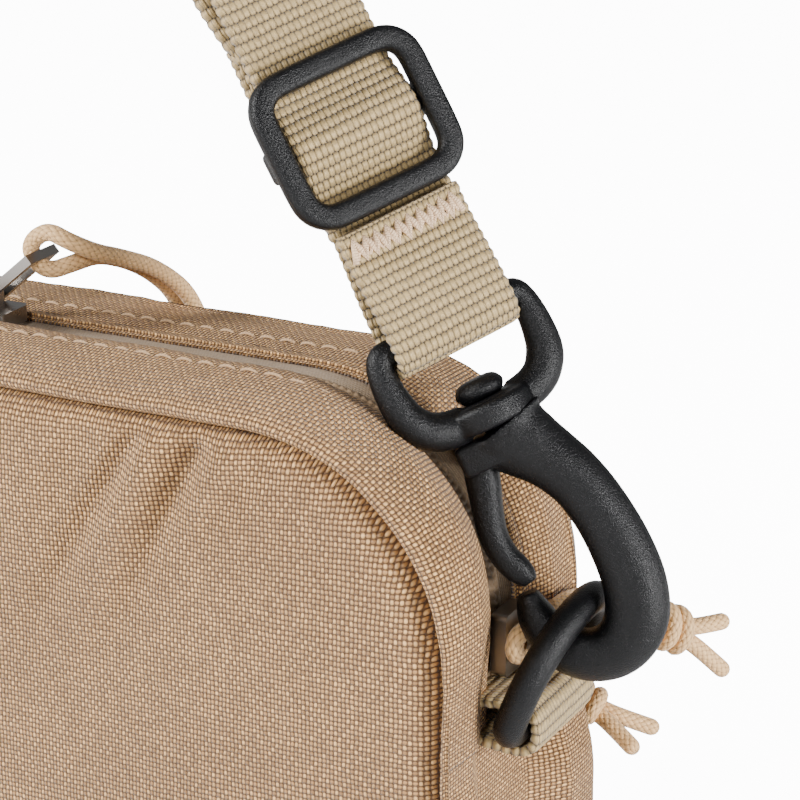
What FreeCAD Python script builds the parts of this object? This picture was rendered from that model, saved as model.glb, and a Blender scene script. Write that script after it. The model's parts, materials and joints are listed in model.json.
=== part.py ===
"""Gusseted neck pouch wallet with webbing strap, snap hooks and paracord zip pulls.

Millimetres. +X to the wearer's left, -Y is the pouch's front, +Z up. The origin is under the
strap's top, where the pouch hangs from a neck or a peg.
"""

import FreeCAD, Part

import math
import os
from FreeCAD import Placement, Rotation, Vector

SIZES = {
    # pouch
    "pouch_width": 180.0,
    "pouch_height": 130.0,
    "pouch_depth": 46.0,
    "corner_radius": 34.0,
    "pouch_drop": 129.0,
    "panel_wall": 1.6,
    "band_wall": 1.8,
    "band_proud": 1.2,
    "zip_width": 14.0,
    "tape_wall": 0.9,
    "coil_width": 3.0,
    "coil_height": 1.6,
    "binding_width": 5.0,
    "pocket_height": 84.0,
    "pocket_gap": 4.0,
    "pocket_wall": 0.8,
    "back_zip_length": 140.0,
    "back_zip_drop": 54.0,
    "back_open": 6.0,
    # webbing
    "webbing_width": 20.0,
    "webbing_wall": 1.6,
    "clearance": 0.3,
    "strap_lean": 30.0,
    "strap_twist": 40.0,
    # ring and its tab
    "ring_rod": 4.8,
    "ring_play": 1.4,
    "ring_rise": 19.0,
    "ring_lean": 20.5,
    "ring_reach": 15.0,
    "ring_below_top": 27.0,
    # snap hook
    "hook_turn": 18.0,
    "hook_thick": 8.2,
    "hook_deep": 7.8,
    "hook_mouth": 9.4,
    "collar_up": 29.5,
    "collar_radius": 6.8,
    "collar_tall": 4.0,
    "stud_radius": 2.2,
    "stud_fit": 0.06,
    "head_radius": 3.3,
    "gate_thick": 3.2,
    "gate_deep": 4.6,
    "gate_pin_radius": 0.9,
    # eye, measured up the strap from the ring
    "eye_up": 46.0,
    "eye_rod": 4.2,
    "eye_play": 0.8,
    "loop_end_up": 64.0,
    # triglide
    "glide_up": 77.4,
    "glide_height": 24.4,
    "glide_bar": 3.6,
    "glide_thick": 3.6,
    "glide_corner": 5.0,
    "wrap_end_up": 95.5,
    # zip sliders and pulls
    "slider_length": 10.0,
    "slider_width": 8.0,
    "slider_height": 2.6,
    "puller_length": 15.0,
    "puller_width": 8.0,
    "puller_rod": 1.6,
    "cord_diameter": 2.8,
    "knot_radius": 3.6,
    "knot_length": 10.0,
}

# Routes in millimetres, chosen by hand. The strap runs right to left over the neck.
STRAP_OUTER_ROUTE = [(73.0, 0, -100.6), (11.4, 0, 6.0), (0, 0, 10.2), (-11.4, 0, 6.0), (-75.1, -1.1, -101.6)]
STRAP_INNER_ROUTE = [(54.7, 2.2, -74.2), (9.1, 0, 3.2), (0, 0, 6.5), (-9.1, 0, 3.2), (-72.9, 1.1, -102.9)]
TOP_PULL_ROUTE = [(15.5, 0.5, -116.2), (17.3, 9, -116.4), (19.3, 18, -120.3), (20.8, 26.5, -127.5),
                  (21.5, 29.5, -138.5)]
SIDE_PULL_ROUTE = [(95.7, 1.4, -164), (95.9, 8, -163.7), (96.3, 16, -164), (99.4, 22, -166.2),
                   (103.0, 26.5, -169)]
BACK_PULL_ROUTE = [(79.5, 30.2, -183.0), (83.3, 30.8, -184.0), (86.9, 31.0, -185.6)]
STRAND_GAP = 3.1

doc = FreeCAD.newDocument("neck_pouch_wallet")
sheet = doc.addObject("Spreadsheet::Sheet", "Sizes")
for row, (alias, value) in enumerate(SIZES.items(), start=1):
    sheet.set(f"A{row}", alias)
    sheet.set(f"B{row}", str(value))
    sheet.setAlias(f"B{row}", alias)
doc.recompute()

SUBPARTS = {}
ROUTED_WIDTH, ROUTED_DEPTH = 180.0, 46.0  # the pouch that the cord routes were drawn on
X_AXIS, Y_AXIS, Z_AXIS = Vector(1, 0, 0), Vector(0, 1, 0), Vector(0, 0, 1)


def size(alias):
    """A driving dimension from the sheet."""
    return float(sheet.get(alias))


def carried(route, out, back):
    """A cord's route moved out with the pouch's side and back with its rear face."""
    aside = (size("pouch_width") - ROUTED_WIDTH) / 2 if out else 0.0
    behind = (size("pouch_depth") - ROUTED_DEPTH) / 2
    stretch = 1.0 if back else size("pouch_depth") / ROUTED_DEPTH
    return [(x + aside, y * stretch + (behind if back else 0.0), z) for x, y, z in route]


def bind(obj, sizes):
    """Ties properties of an object to expressions on the sheet."""
    for prop, expression in sizes.items():
        words = expression
        for alias in sorted(SIZES, key=len, reverse=True):
            words = words.replace(f"<{alias}>", f"Sizes.{alias}")
        obj.setExpression(prop, words)


def keep(obj, label):
    """Names a finished sub-part."""
    obj.Label = label
    SUBPARTS[label] = obj
    return obj


def feature(label, shape, placement=None):
    """A sub-part made with Part's own functions, in its own frame, then placed."""
    obj = doc.addObject("Part::Feature", label)
    obj.Shape = shape
    if placement is not None:
        obj.Placement = placement
    return keep(obj, label)


def mirrored(label, source):
    """The left-hand copy of a right-hand sub-part."""
    obj = doc.addObject("Part::Mirroring", label)
    obj.Source = source
    obj.Base = Vector(0, 0, 0)
    obj.Normal = X_AXIS
    return keep(obj, label)


def along_y(shape):
    """Names of the straight edges that run along Y."""
    names = []
    for index, edge in enumerate(shape.Edges, start=1):
        way = edge.tangentAt(edge.FirstParameter)
        if isinstance(edge.Curve, Part.Line) and abs(way.y) > 0.99:
            names.append(f"Edge{index}")
    return names


def slab(name, width, depth, height, corner, front, low):
    """An upright slab centred on X with its four corners rounded. Every size is an expression."""
    body = doc.addObject("PartDesign::Body", name)
    block = body.newObject("PartDesign::AdditiveBox", name + "_block")
    bind(block, {
        "Length": width, "Width": depth, "Height": height,
        ".Placement.Base.x": f"-({width}) / 2", ".Placement.Base.y": front, ".Placement.Base.z": low,
    })
    doc.recompute()
    rounding = body.newObject("PartDesign::Fillet", name + "_corners")
    rounding.Base = (block, along_y(block.Shape))
    bind(rounding, {"Radius": corner})
    doc.recompute()
    return body


def box(name, length, width, height, x, y, z):
    """A plain block. Every size is an expression."""
    obj = doc.addObject("Part::Box", name)
    bind(obj, {
        "Length": length, "Width": width, "Height": height,
        ".Placement.Base.x": x, ".Placement.Base.y": y, ".Placement.Base.z": z,
    })
    return obj


def boolean(kind, name, base, tool):
    """Part::Cut or Part::Common of two objects."""
    obj = doc.addObject(f"Part::{kind}", name)
    obj.Base, obj.Tool = base, tool
    return obj


def hoop(name, proud, wall, front, depth):
    """A closed band round the pouch: proud of the panel's outline, with a wall, between two depths."""
    grow = f"({proud})"
    outer = slab(name + "_outer", f"<pouch_width> + 2 * {grow}", depth, f"<pouch_height> + 2 * {grow}",
                 f"<corner_radius> + {grow}", front, f"-<pouch_drop> - <pouch_height> - {grow}")
    inner_grow = f"({proud} - {wall})"
    inner = slab(name + "_inner", f"<pouch_width> + 2 * {inner_grow}", depth,
                 f"<pouch_height> + 2 * {inner_grow}", f"<corner_radius> + {inner_grow}", front,
                 f"-<pouch_drop> - <pouch_height> - {inner_grow}")
    return boolean("Cut", name + "_hoop", outer, inner)


def half_hoop(label, proud, wall, front, depth, upper):
    """The part of a hoop above or below the side tabs."""
    ring = hoop(label, proud, wall, front, depth)
    low = "-<pouch_drop> - <tab_line>" if upper else "-<pouch_drop> - <tab_line> - 2 * <pouch_height>"
    low = low.replace("<tab_line>", TAB_LINE)
    reach = box(label + "_reach", "2 * <pouch_width>", "2 * <pouch_depth>", "2 * <pouch_height>",
                "-<pouch_width>", "-<pouch_depth>", low)
    return keep(boolean("Common", label, ring, reach), label)


# ---- the sewn pouch ----
TAB_LINE = "(<ring_below_top> + <ring_rise> + 1)"
HALF = "<pouch_depth> / 2"


def make_pouch():
    """Panels, gusset bands, zip tapes, bindings and the slip pocket."""
    low = "-<pouch_drop> - <pouch_height>"
    for label, front in (("front_panel", f"-{HALF}"), ("back_panel", f"{HALF} - <panel_wall>")):
        keep(slab(label, "<pouch_width>", "<panel_wall>", "<pouch_height>", "<corner_radius>", front, low), label)
    band = f"({HALF} - <panel_wall> - <zip_width> / 2)"
    half_hoop("gusset_front_band", "<band_proud>", "<band_wall>", f"-{HALF} + <panel_wall>", band, True)
    half_hoop("gusset_back_band", "<band_proud>", "<band_wall>", "<zip_width> / 2", band, True)
    half_hoop("lower_gusset", "<band_proud>", "<band_wall>", f"-{HALF} + <panel_wall>",
              "<pouch_depth> - 2 * <panel_wall>", False)
    tape = "(<zip_width> - <coil_width>) / 2"
    half_hoop("zipper_tape_front", "<band_proud>", "<tape_wall>", "-<zip_width> / 2", tape, True)
    half_hoop("zipper_tape_back", "<band_proud>", "<tape_wall>", "<coil_width> / 2", tape, True)
    half_hoop("zipper_coil", "<band_proud>", "<coil_height>", "-<coil_width> / 2", "<coil_width>", True)
    inset = "(<band_proud> - <band_wall>)"
    for label, front in (("binding_front", f"-{HALF} + <panel_wall>"),
                         ("binding_back", f"{HALF} - <panel_wall> - <binding_width>")):
        keep(hoop(label, inset, "<pocket_wall>", front, "<binding_width>"), label)
    room = "(<band_wall> + <pocket_gap>)"
    keep(slab("slip_pocket", f"<pouch_width> - 2 * {room}", "<pocket_wall>", "<pocket_height>",
              "<corner_radius> / 2", f"{HALF} - <panel_wall> - <binding_width> - <pocket_gap>",
              f"{low} + {room}"), "slip_pocket")


def make_back_zip():
    """The flat zip of the back pocket, on the back panel's outside."""
    z = "-<pouch_drop> - <back_zip_drop>"
    keep(slab("back_zip_tape", "<back_zip_length>", "<tape_wall>", "<zip_width>", "2 mm", HALF,
              f"{z} - <zip_width> / 2"), "back_zip_tape")
    keep(slab("back_zip_coil", "<back_zip_length> - 8", "<coil_height>", "<coil_width>", "1 mm",
              f"{HALF} + <tape_wall>", f"{z} - <coil_width> / 2"), "back_zip_coil")


# ---- frames on the right-hand strap ----
def bow_point():
    """Middle of the ring's bow, where the snap hook pulls."""
    return Vector(size("pouch_width") / 2 + size("ring_reach"), 0, -size("pouch_drop") - size("ring_below_top"))


def strap_frame(turn):
    """Origin at the ring's bow, Z up the strap, X outward, then turned about Z."""
    lean = Rotation(Y_AXIS, -size("strap_lean"))
    return Placement(bow_point(), lean.multiply(Rotation(Z_AXIS, turn)))


def ring_frame():
    """Origin on the ring's straight bar, Y along it, Z from the bar to the bow."""
    out = math.radians(size("ring_lean"))
    rise = size("ring_rise")
    base = bow_point() - Vector(math.sin(out), 0, math.cos(out)) * rise
    return Placement(base, Rotation(Y_AXIS, size("ring_lean")))


def rod_along(wire, radius):
    """A round rod along a wire."""
    edge = wire.Edges[0]
    start, way = edge.valueAt(edge.FirstParameter), edge.tangentAt(edge.FirstParameter)
    ring = Part.Wire(Part.makeCircle(radius, start, way))
    shell = wire.makePipeShell([ring], True, True)
    return shell


def line(a, b):
    """A straight edge in the YZ plane of a local frame, from (y, z) to (y, z)."""
    return Part.LineSegment(Vector(0, *a), Vector(0, *b)).toShape()


def arc(a, middle, b):
    """An arc in the YZ plane of a local frame through three (y, z) points."""
    return Part.Arc(Vector(0, *a), Vector(0, *middle), Vector(0, *b)).toShape()


def corner_arc(y, z, radius, first, last):
    """An arc about (y, z) from one angle to another, in degrees."""
    at = [math.radians(angle) for angle in (first, (first + last) / 2, last)]
    points = [(y + radius * math.cos(t), z + radius * math.sin(t)) for t in at]
    return arc(*points)


def make_ring():
    """The D-ring: a straight bar for the tab and a round bow for the hook."""
    radius = ((size("webbing_width") + size("ring_play")) + size("ring_rod")) / 2
    bend = radius - size("webbing_width") / 2 - size("clearance")
    spring = size("ring_rise") - radius
    edges = [
        line((bend - radius, 0), (radius - bend, 0)),
        corner_arc(radius - bend, bend, bend, -90, 0),
        line((radius, bend), (radius, spring)),
        corner_arc(0, spring, radius, 0, 90),
        corner_arc(0, spring, radius, 90, 180),
        line((-radius, spring), (-radius, bend)),
        corner_arc(bend - radius, bend, bend, 180, 270),
    ]
    wire = Part.Wire(Part.__sortEdges__(edges))
    ring = feature("d_ring_right", rod_along(wire, size("ring_rod") / 2), ring_frame())
    mirrored("d_ring_left", ring)


def strip(outer, inner):
    """Webbing bent in the XZ plane of its frame: outline minus hole, as wide as the webbing."""
    width = size("webbing_width")
    face = Part.Face(outer).cut(Part.Face(inner)) if inner else Part.Face(outer)
    face.translate(Vector(0, -width / 2, 0))
    return face.extrude(Vector(0, width, 0)).Solids[0]


def flat_wire(points):
    """A closed wire in the XZ plane. A point given as three numbers (x, z, 1) is the middle of an arc."""
    edges, ring = [], points + [points[0]]
    index = 0
    while index < len(ring) - 1:
        a, b = ring[index], ring[index + 1]
        if len(b) == 3:
            last = ring[index + 2]
            edges.append(Part.Arc(*(Vector(p[0], 0, p[1]) for p in (a, b, last))).toShape())
            index += 2
        else:
            edges.append(Part.LineSegment(Vector(a[0], 0, a[1]), Vector(b[0], 0, b[1])).toShape())
            index += 1
    return Part.Wire(edges)


def make_tab():
    """The side tab: webbing from the gusset round the ring's bar and back."""
    wall = size("webbing_wall")
    inner = size("ring_rod") / 2 + size("clearance")
    outer = inner + wall
    root = ring_frame().Base.x - size("pouch_width") / 2 - size("band_proud")
    outline = flat_wire([(-root, outer), (0, outer), (outer, 0, 1), (0, -outer), (-root, -outer)])
    hole = flat_wire([(-root + wall, inner), (0, inner), (inner, 0, 1), (0, -inner), (-root + wall, -inner)])
    tab = feature("side_tab_right", strip(outline, hole), Placement(ring_frame().Base, Rotation()))
    mirrored("side_tab_left", tab)


def section(centre, way, half_across, half_deep):
    """A closed oval across a path in the XZ plane."""
    across = way.cross(Y_AXIS).normalize()
    points = []
    for step in range(12):
        turn = math.radians(step * 30)
        points.append(centre + across * (half_across * math.cos(turn)) + Y_AXIS * (half_deep * math.sin(turn)))
    curve = Part.BSplineCurve()
    curve.interpolate(points, PeriodicFlag=True)
    return Part.Wire(curve.toShape())


def oval_loft(stations, level_start=False):
    """A smooth solid through ovals: (x, z, half across, half deep) at each station."""
    places = [Vector(x, 0, z) for x, z, _, _ in stations]
    wires = []
    for index, (_, _, across, deep) in enumerate(stations):
        before, after = places[max(index - 1, 0)], places[min(index + 1, len(places) - 1)]
        way = after - before
        if index == 0 and level_start:
            way = -Z_AXIS
        wires.append(section(places[index], way, across, deep))
    return Part.makeLoft(wires, True, False)


def cylinder(radius, low, high, x=0.0):
    """A cylinder up the frame's Z."""
    return Part.makeCylinder(radius, high - low, Vector(x, 0, low), Z_AXIS)


def make_hook():
    """The J-shaped hook with its swivel stud, and the sprung gate that closes it."""
    thick, deep = size("hook_thick") / 2, size("hook_deep") / 2
    mouth = size("hook_mouth") / 2
    bend = mouth + thick
    top = size("collar_up") - 0.5
    stations = [
        (1.0, top, 1.5 * thick, 1.2 * deep),
        (0.5 * bend, top - 5, 1.05 * thick, 1.05 * deep),
        (0.81 * bend, top - 12, 0.98 * thick, deep),
        (0.93 * bend, top - 21, thick, deep),
        (0.91 * bend, 0, 1.02 * thick, deep),
        (0.6 * bend, -0.71 * bend, 1.02 * thick, deep),
        (0, -0.93 * bend, thick, deep),
        (-0.62 * bend, -0.7 * bend, 0.8 * thick, 0.9 * deep),
        (-0.84 * bend, 0, 0.6 * thick, 0.8 * deep),
        (-0.8 * bend, 4.8, 0.38 * thick, 0.6 * deep),
    ]
    body = oval_loft(stations, level_start=True)
    stud = cylinder(size("stud_radius"), top - 3, size("collar_up") + size("collar_tall") + 0.6)
    head_low = size("collar_up") + size("collar_tall") + 0.3
    head = cylinder(size("head_radius"), head_low, head_low + 1.2)
    dome_centre = Vector(0, 0, head_low + 1.2 - size("head_radius"))
    dome = Part.makeSphere(size("head_radius") * math.sqrt(2), dome_centre)
    dome = dome.common(cylinder(size("head_radius"), head_low + 0.6, head_low + 6))
    pin_x, pin_z = gate_pin()
    ears = []
    for side in (-1, 1):
        inner_face = size("gate_deep") / 2 + size("clearance")
        y = inner_face if side > 0 else -inner_face - 1.2
        lug = Part.makeCylinder(1.7, 1.2, Vector(pin_x, y, pin_z), Y_AXIS)
        web = Part.makeBox(abs(pin_x) + 1, 1.2, 3.4, Vector(pin_x, y, pin_z - 0.2))
        ears += [lug, web]
    solid = body.fuse([stud, head, dome] + ears).removeSplitter()
    hole = Part.makeCylinder(size("gate_pin_radius"), 20, Vector(pin_x, -10, pin_z), Y_AXIS)
    frame = strap_frame(size("hook_turn"))
    hook = feature("hook_right", solid.cut(hole).Solids[0], frame)
    pin = Part.makeCylinder(size("gate_pin_radius"), size("gate_deep") + 2.8,
                            Vector(pin_x, -size("gate_deep") / 2 - 1.4, pin_z), Y_AXIS)
    pin = feature("gate_pin_right", pin, frame)
    half, gate_deep = size("gate_thick") / 2, size("gate_deep") / 2
    gate = oval_loft([
        (pin_x + 0.3, pin_z + 1.4, 0.8 * half, gate_deep),
        (pin_x, pin_z, 1.0 * half, gate_deep),
        (-0.86 * bend, pin_z - 5, half, gate_deep),
        (-1.0 * bend, 14, half, gate_deep),
        (-0.95 * bend, 9.4, 0.85 * half, 0.8 * gate_deep),
        (-0.84 * bend, 6.0, 0.6 * half, 0.6 * gate_deep),
    ])
    bore = Part.makeCylinder(size("gate_pin_radius") + size("stud_fit"), 20, Vector(pin_x, -10, pin_z), Y_AXIS)
    gate = feature("gate_right", gate.cut(bore).Solids[0], frame)
    mirrored("hook_left", hook)
    mirrored("gate_pin_left", pin)
    mirrored("gate_left", gate)


def gate_pin():
    """Where the gate turns, in the hook's frame: (x, z)."""
    return -5.4, size("collar_up") - 4.3


def make_eye():
    """The swivel eye: a flat-topped loop for the webbing on a round collar."""
    rod = size("eye_rod") / 2
    half = ((size("webbing_width") + size("eye_play")) + size("eye_rod")) / 2
    top, low = size("eye_up"), size("collar_up") + rod
    bend = half - size("webbing_width") / 2 - size("clearance")
    sweep = half - 4.0
    foot = half - sweep
    edges = [
        corner_arc(foot, low + sweep, sweep, -90, 0),
        line((half, low + sweep), (half, top - bend)),
        corner_arc(half - bend, top - bend, bend, 0, 90),
        line((half - bend, top), (bend - half, top)),
        corner_arc(bend - half, top - bend, bend, 90, 180),
        line((-half, top - bend), (-half, low + sweep)),
        corner_arc(-foot, low + sweep, sweep, 180, 270),
    ]
    loop = rod_along(Part.Wire(Part.__sortEdges__(edges)), rod)
    collar = cylinder(size("collar_radius"), size("collar_up"), size("collar_up") + size("collar_tall"))
    bore = cylinder(size("stud_radius") + size("stud_fit"), 0, size("eye_up") - 6)
    solid = loop.fuse(collar).cut(bore).Solids[0]
    eye = feature("swivel_eye_right", solid, strap_frame(-size("strap_twist")))
    mirrored("swivel_eye_left", eye)


def make_loops():
    """The webbing folded round each eye: sewn shut on the right, open to both runs on the left."""
    wall, up = size("webbing_wall"), size("eye_up")
    inner = size("eye_rod") / 2 + size("clearance")
    outer = inner + wall
    end = size("loop_end_up")
    frame = strap_frame(-size("strap_twist"))
    outline = flat_wire([(outer, up), (0, up - outer, 1), (-outer, up), (-wall, end - 5), (-wall, end - 0.1),
                         (wall, end - 0.1), (wall, end - 5)])
    hole = flat_wire([(inner, up), (0, up - inner, 1), (-inner, up), (0, end - 8)])
    feature("strap_end_loop", strip(outline, hole), frame)
    out, gap = 1.7 + wall / 2, 1.7 - wall / 2
    fold = flat_wire([(outer, up), (0, up - outer, 1), (-outer, up), (-out, end - 2.6), (-gap, end - 2.6),
                      (-inner, up), (0, up - inner, 1), (inner, up), (gap, end - 2.6), (out, end - 2.6)])
    source = doc.addObject("Part::Feature", "fold_pattern")
    source.Shape = strip(fold, None)
    source.Placement = frame
    mirrored("strap_fold_left", source)


def make_triglide():
    """The adjuster: a frame over the outer run, a bar behind it and the sewn webbing round that bar."""
    wall, gap, web = size("webbing_wall"), size("clearance"), size("webbing_width")
    bar, high, thick = size("glide_bar"), size("glide_height"), size("glide_thick")
    half_wide = web / 2 + 0.7 + bar
    front = wall / 2 + gap
    frame = strap_frame(-size("strap_twist")).multiply(Placement(Vector(0, 0, size("glide_up")), Rotation()))
    plate = Part.makeBox(thick, 2 * half_wide, high, Vector(front, -half_wide, -high / 2))
    upright = [edge for edge in plate.Edges if abs(edge.tangentAt(edge.FirstParameter).x) > 0.99]
    plate = plate.makeFillet(size("glide_corner"), upright)
    window = Part.makeBox(20, 2 * (half_wide - bar), high - 2 * bar, Vector(-10, bar - half_wide, bar - high / 2))
    upright = [edge for edge in window.Edges if abs(edge.tangentAt(edge.FirstParameter).x) > 0.99]
    plate = plate.cut(window.makeFillet(1.5, upright))
    bar_front = -wall / 2 - gap - wall - gap
    bar_deep = 2.4
    pieces = [Part.makeBox(bar_deep, 2 * half_wide - 1, bar, Vector(bar_front - bar_deep, 0.5 - half_wide, -bar / 2))]
    for y in (-half_wide + 0.5, half_wide - bar + 0.2):
        pieces.append(Part.makeBox(front + 1 - bar_front + bar_deep, bar - 0.7, bar + 3,
                                   Vector(bar_front - bar_deep, y, -bar / 2 - 1.5)))
    solid = plate.fuse(pieces).removeSplitter()
    feature("triglide", solid.Solids[0], frame)
    inner = bar / 2 + gap
    back = bar_front - bar_deep - gap
    near = bar_front + gap
    end = size("wrap_end_up") - size("glide_up") - 0.2
    inner_mid = -3.4
    outline = flat_wire([(near + wall, -inner), (back - wall, -inner - 0.8), (back - wall, inner),
                         (inner_mid - wall, end - 5), (inner_mid - wall, end), (inner_mid + wall, end),
                         (inner_mid + wall, end - 5), (near + wall, inner)])
    hole = flat_wire([(near, -inner + wall - 1.3), (back, -inner + wall - 1.3), (back, inner),
                      (inner_mid, end - 8), (near, inner)])
    feature("triglide_wrap", strip(outline, hole), frame)


def runs_and_arcs(route):
    """Points along straight runs joined by tangent arcs, each arc 0.45 of its shorter run."""
    points = [Vector(*p) for p in route]
    path, radii = [("point", points[0])], []
    for before, corner, after in zip(points, points[1:], points[2:]):
        back, on = (before - corner), (after - corner)
        shorter = min(back.Length, on.Length)
        half_turn = (math.pi - back.getAngle(on)) / 2
        reach = 0.45 * shorter
        radius = reach / math.tan(half_turn)
        radii.append(radius)
        start, end = corner + back.normalize() * reach, corner + on.normalize() * reach
        inward = (back + on).normalize()
        centre = corner + inward * math.hypot(radius, reach)
        path.append(("arc", start, centre - inward * radius, end))
    path.append(("point", points[-1]))
    print("radii", [round(r, 1) for r in radii])
    return path


def cord_tube(route, diameter):
    """A round tube along a route."""
    edges, last = [], None
    for step in runs_and_arcs(route):
        if last is not None:
            edges.append(Part.LineSegment(last, step[1]).toShape())
        if step[0] == "arc":
            edges.append(Part.Arc(*step[1:]).toShape())
        last = step[-1]
    wire = Part.Wire(edges)
    tube = rod_along(wire, diameter / 2)
    print("tube volume", round(tube.Volume, 1), "section times length",
          round(math.pi * diameter ** 2 / 4 * wire.Length, 1))
    return tube


def strap_strip(route, width, wall):
    """Flat webbing along a route over the neck. It untwists on each leg and lies flat at the top."""
    stations, last = [], None
    for step in runs_and_arcs(route):
        if last is not None:
            stations += [last + (step[1] - last) * (i / 6) for i in range(1, 6)]
        if step[0] == "arc":
            curve = Part.Arc(*step[1:]).toShape()
            stations += curve.discretize(5)
        else:
            stations.append(step[1])
        last = step[-1]
    wires = []
    for index, centre in enumerate(stations):
        before, after = stations[max(index - 1, 0)], stations[min(index + 1, len(stations) - 1)]
        way = (after - before).normalize()
        outward = Y_AXIS.cross(way).normalize()
        share = min(max((-centre.z - 12) / 30, 0), 1)
        twist = math.radians(size("strap_twist")) * share
        across = Y_AXIS * math.cos(twist) + outward * math.sin(twist)
        across = (across - way * across.dot(way)).normalize()
        normal = across.cross(way)
        corners = [centre + across * (a * width / 2) + normal * (n * wall / 2)
                   for a, n in ((-1, -1), (1, -1), (1, 1), (-1, 1))]
        wires.append(Part.makePolygon(corners + corners[:1]))
    return Part.makeLoft(wires, True, True)


def make_strap():
    """The two runs of the strap over the neck."""
    for label, route in (("strap_outer_run", STRAP_OUTER_ROUTE), ("strap_inner_run", STRAP_INNER_ROUTE)):
        feature(label, strap_strip(route, size("webbing_width"), size("webbing_wall")))


# ---- zip sliders and pulls ----
def slider_shape():
    """A slider's outer shell, its length along X, standing on Z = 0."""
    length, width, high = size("slider_length"), size("slider_width"), size("slider_height")
    shell = Part.makeBox(length, width, high, Vector(-length / 2, -width / 2, 0))
    shell = shell.makeFillet(1.0, [e for e in shell.Edges if abs(e.tangentAt(e.FirstParameter).z) > 0.99])
    bridge = Part.makeBox(4.4, 2.4, 3.0, Vector(-2.2, -1.2, high - 0.2))
    tunnel = Part.makeCylinder(1.2, 10, Vector(0, -5, high + 1.0), Y_AXIS)
    return shell.fuse(bridge).cut(tunnel).Solids[0]


def puller_shape():
    """A rectangular wire pull from its hinge at the origin along X."""
    rod, length, half = size("puller_rod"), size("puller_length"), size("puller_width") / 2
    inner = length - 2 * rod
    plate = Part.makeBox(length, 2 * half, rod, Vector(-rod / 2, -half, -rod / 2))
    window = Part.makeBox(inner, 2 * half - 2 * rod, 10, Vector(rod / 2, rod - half, -5))
    return plate.cut(window)


def slider_set(name, base, rotation, raise_angle, route, side_by_side):
    """A slider, its wire puller and the doubled cord on it, with the knot where the strands meet.

    The side slider has no wire puller (raise_angle None): its cord goes through the slider's bridge.
    """
    place = Placement(base, rotation)
    feature(f"slider_{name}", slider_shape(), place)
    if raise_angle is not None:
        hinge = place.multiply(Placement(Vector(0, 0, size("slider_height") + 1.0), Rotation(Y_AXIS, -raise_angle)))
        feature(f"puller_{name}", puller_shape(), hinge)
    across = side_by_side * (STRAND_GAP / 2)
    strands = []
    for side in (-1, 1):
        shifted = [tuple(Vector(*p) + across * side) for p in route]
        strands.append(cord_tube(shifted, size("cord_diameter")))
    feature(f"pull_cord_{name}", Part.makeCompound(strands))
    end, way = Vector(*route[-1]), (Vector(*route[-1]) - Vector(*route[-2])).normalize()
    end = end + way * (0.05 + abs(across.dot(way)))
    knot = Part.makeCylinder(size("knot_radius"), size("knot_length"), end, way)
    rims = [e for e in knot.Edges if isinstance(e.Curve, Part.Circle)]
    knot = knot.makeFillet(1.2, rims)
    tip = end + way * (size("knot_length") - 1.5)
    for side in (-1, 1):
        spread = (way + across * (0.28 * side)).normalize()
        knot = knot.fuse(Part.makeCylinder(size("cord_diameter") / 2, 10, tip + across * (0.5 * side), spread))
    feature(f"pull_knot_{name}", knot)


def make_sliders():
    """Two sliders on the main zip and one on the back pocket's."""
    lift = size("band_proud") + size("clearance")
    top = Vector(0, 0, -size("pouch_drop") + lift)
    slider_set("top", top, Rotation(), 40, carried(TOP_PULL_ROUTE, False, False), X_AXIS)
    side = Vector(size("pouch_width") / 2 + lift, 0, -size("pouch_drop") - size("corner_radius") - 1.0)
    slider_set("side", side, Rotation(Y_AXIS, 90), None, carried(SIDE_PULL_ROUTE, True, False), Z_AXIS)
    back_y = size("pouch_depth") / 2 + size("tape_wall") + size("coil_height") + size("clearance")
    back = Vector(size("back_zip_length") / 2 - size("back_open"), back_y, -size("pouch_drop") - size("back_zip_drop"))
    slider_set("back", back, Rotation(X_AXIS, -90), 0, carried(BACK_PULL_ROUTE, False, True), Y_AXIS)


def check(objects):
    """Stops if any object failed or any sub-part isn't a valid closed solid."""
    for obj in objects:
        if "Invalid" in obj.State or "Error" in obj.State:
            raise RuntimeError(f"{obj.Name} failed: {obj.State}")
    for label, obj in SUBPARTS.items():
        shape = obj.Shape
        if shape.isNull() or not shape.isValid() or not shape.Solids:
            raise RuntimeError(f"{label} isn't a valid solid")


make_pouch()
make_back_zip()
make_ring()
make_tab()
make_hook()
make_eye()
make_loops()
make_triglide()
make_strap()
make_sliders()
doc.recompute()
check(doc.Objects)
os.makedirs("parts", exist_ok=True)
for label, obj in SUBPARTS.items():
    obj.Shape.exportStep(f"parts/{label}.step")
    print(label, round(obj.Shape.Volume, 1), [round(v, 1) for v in (
        obj.Shape.BoundBox.XMin, obj.Shape.BoundBox.XMax, obj.Shape.BoundBox.YMin,
        obj.Shape.BoundBox.YMax, obj.Shape.BoundBox.ZMin, obj.Shape.BoundBox.ZMax)])
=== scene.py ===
"""Looks of a gusseted neck pouch wallet: tan oxford cloth, khaki webbing, black acetal hardware."""

from __future__ import annotations

import json
import logging
import math
import random
from dataclasses import dataclass, field
from enum import Enum
from typing import Callable, Sequence

import bmesh
import bpy
from mathutils import Matrix, Vector, noise

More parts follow.
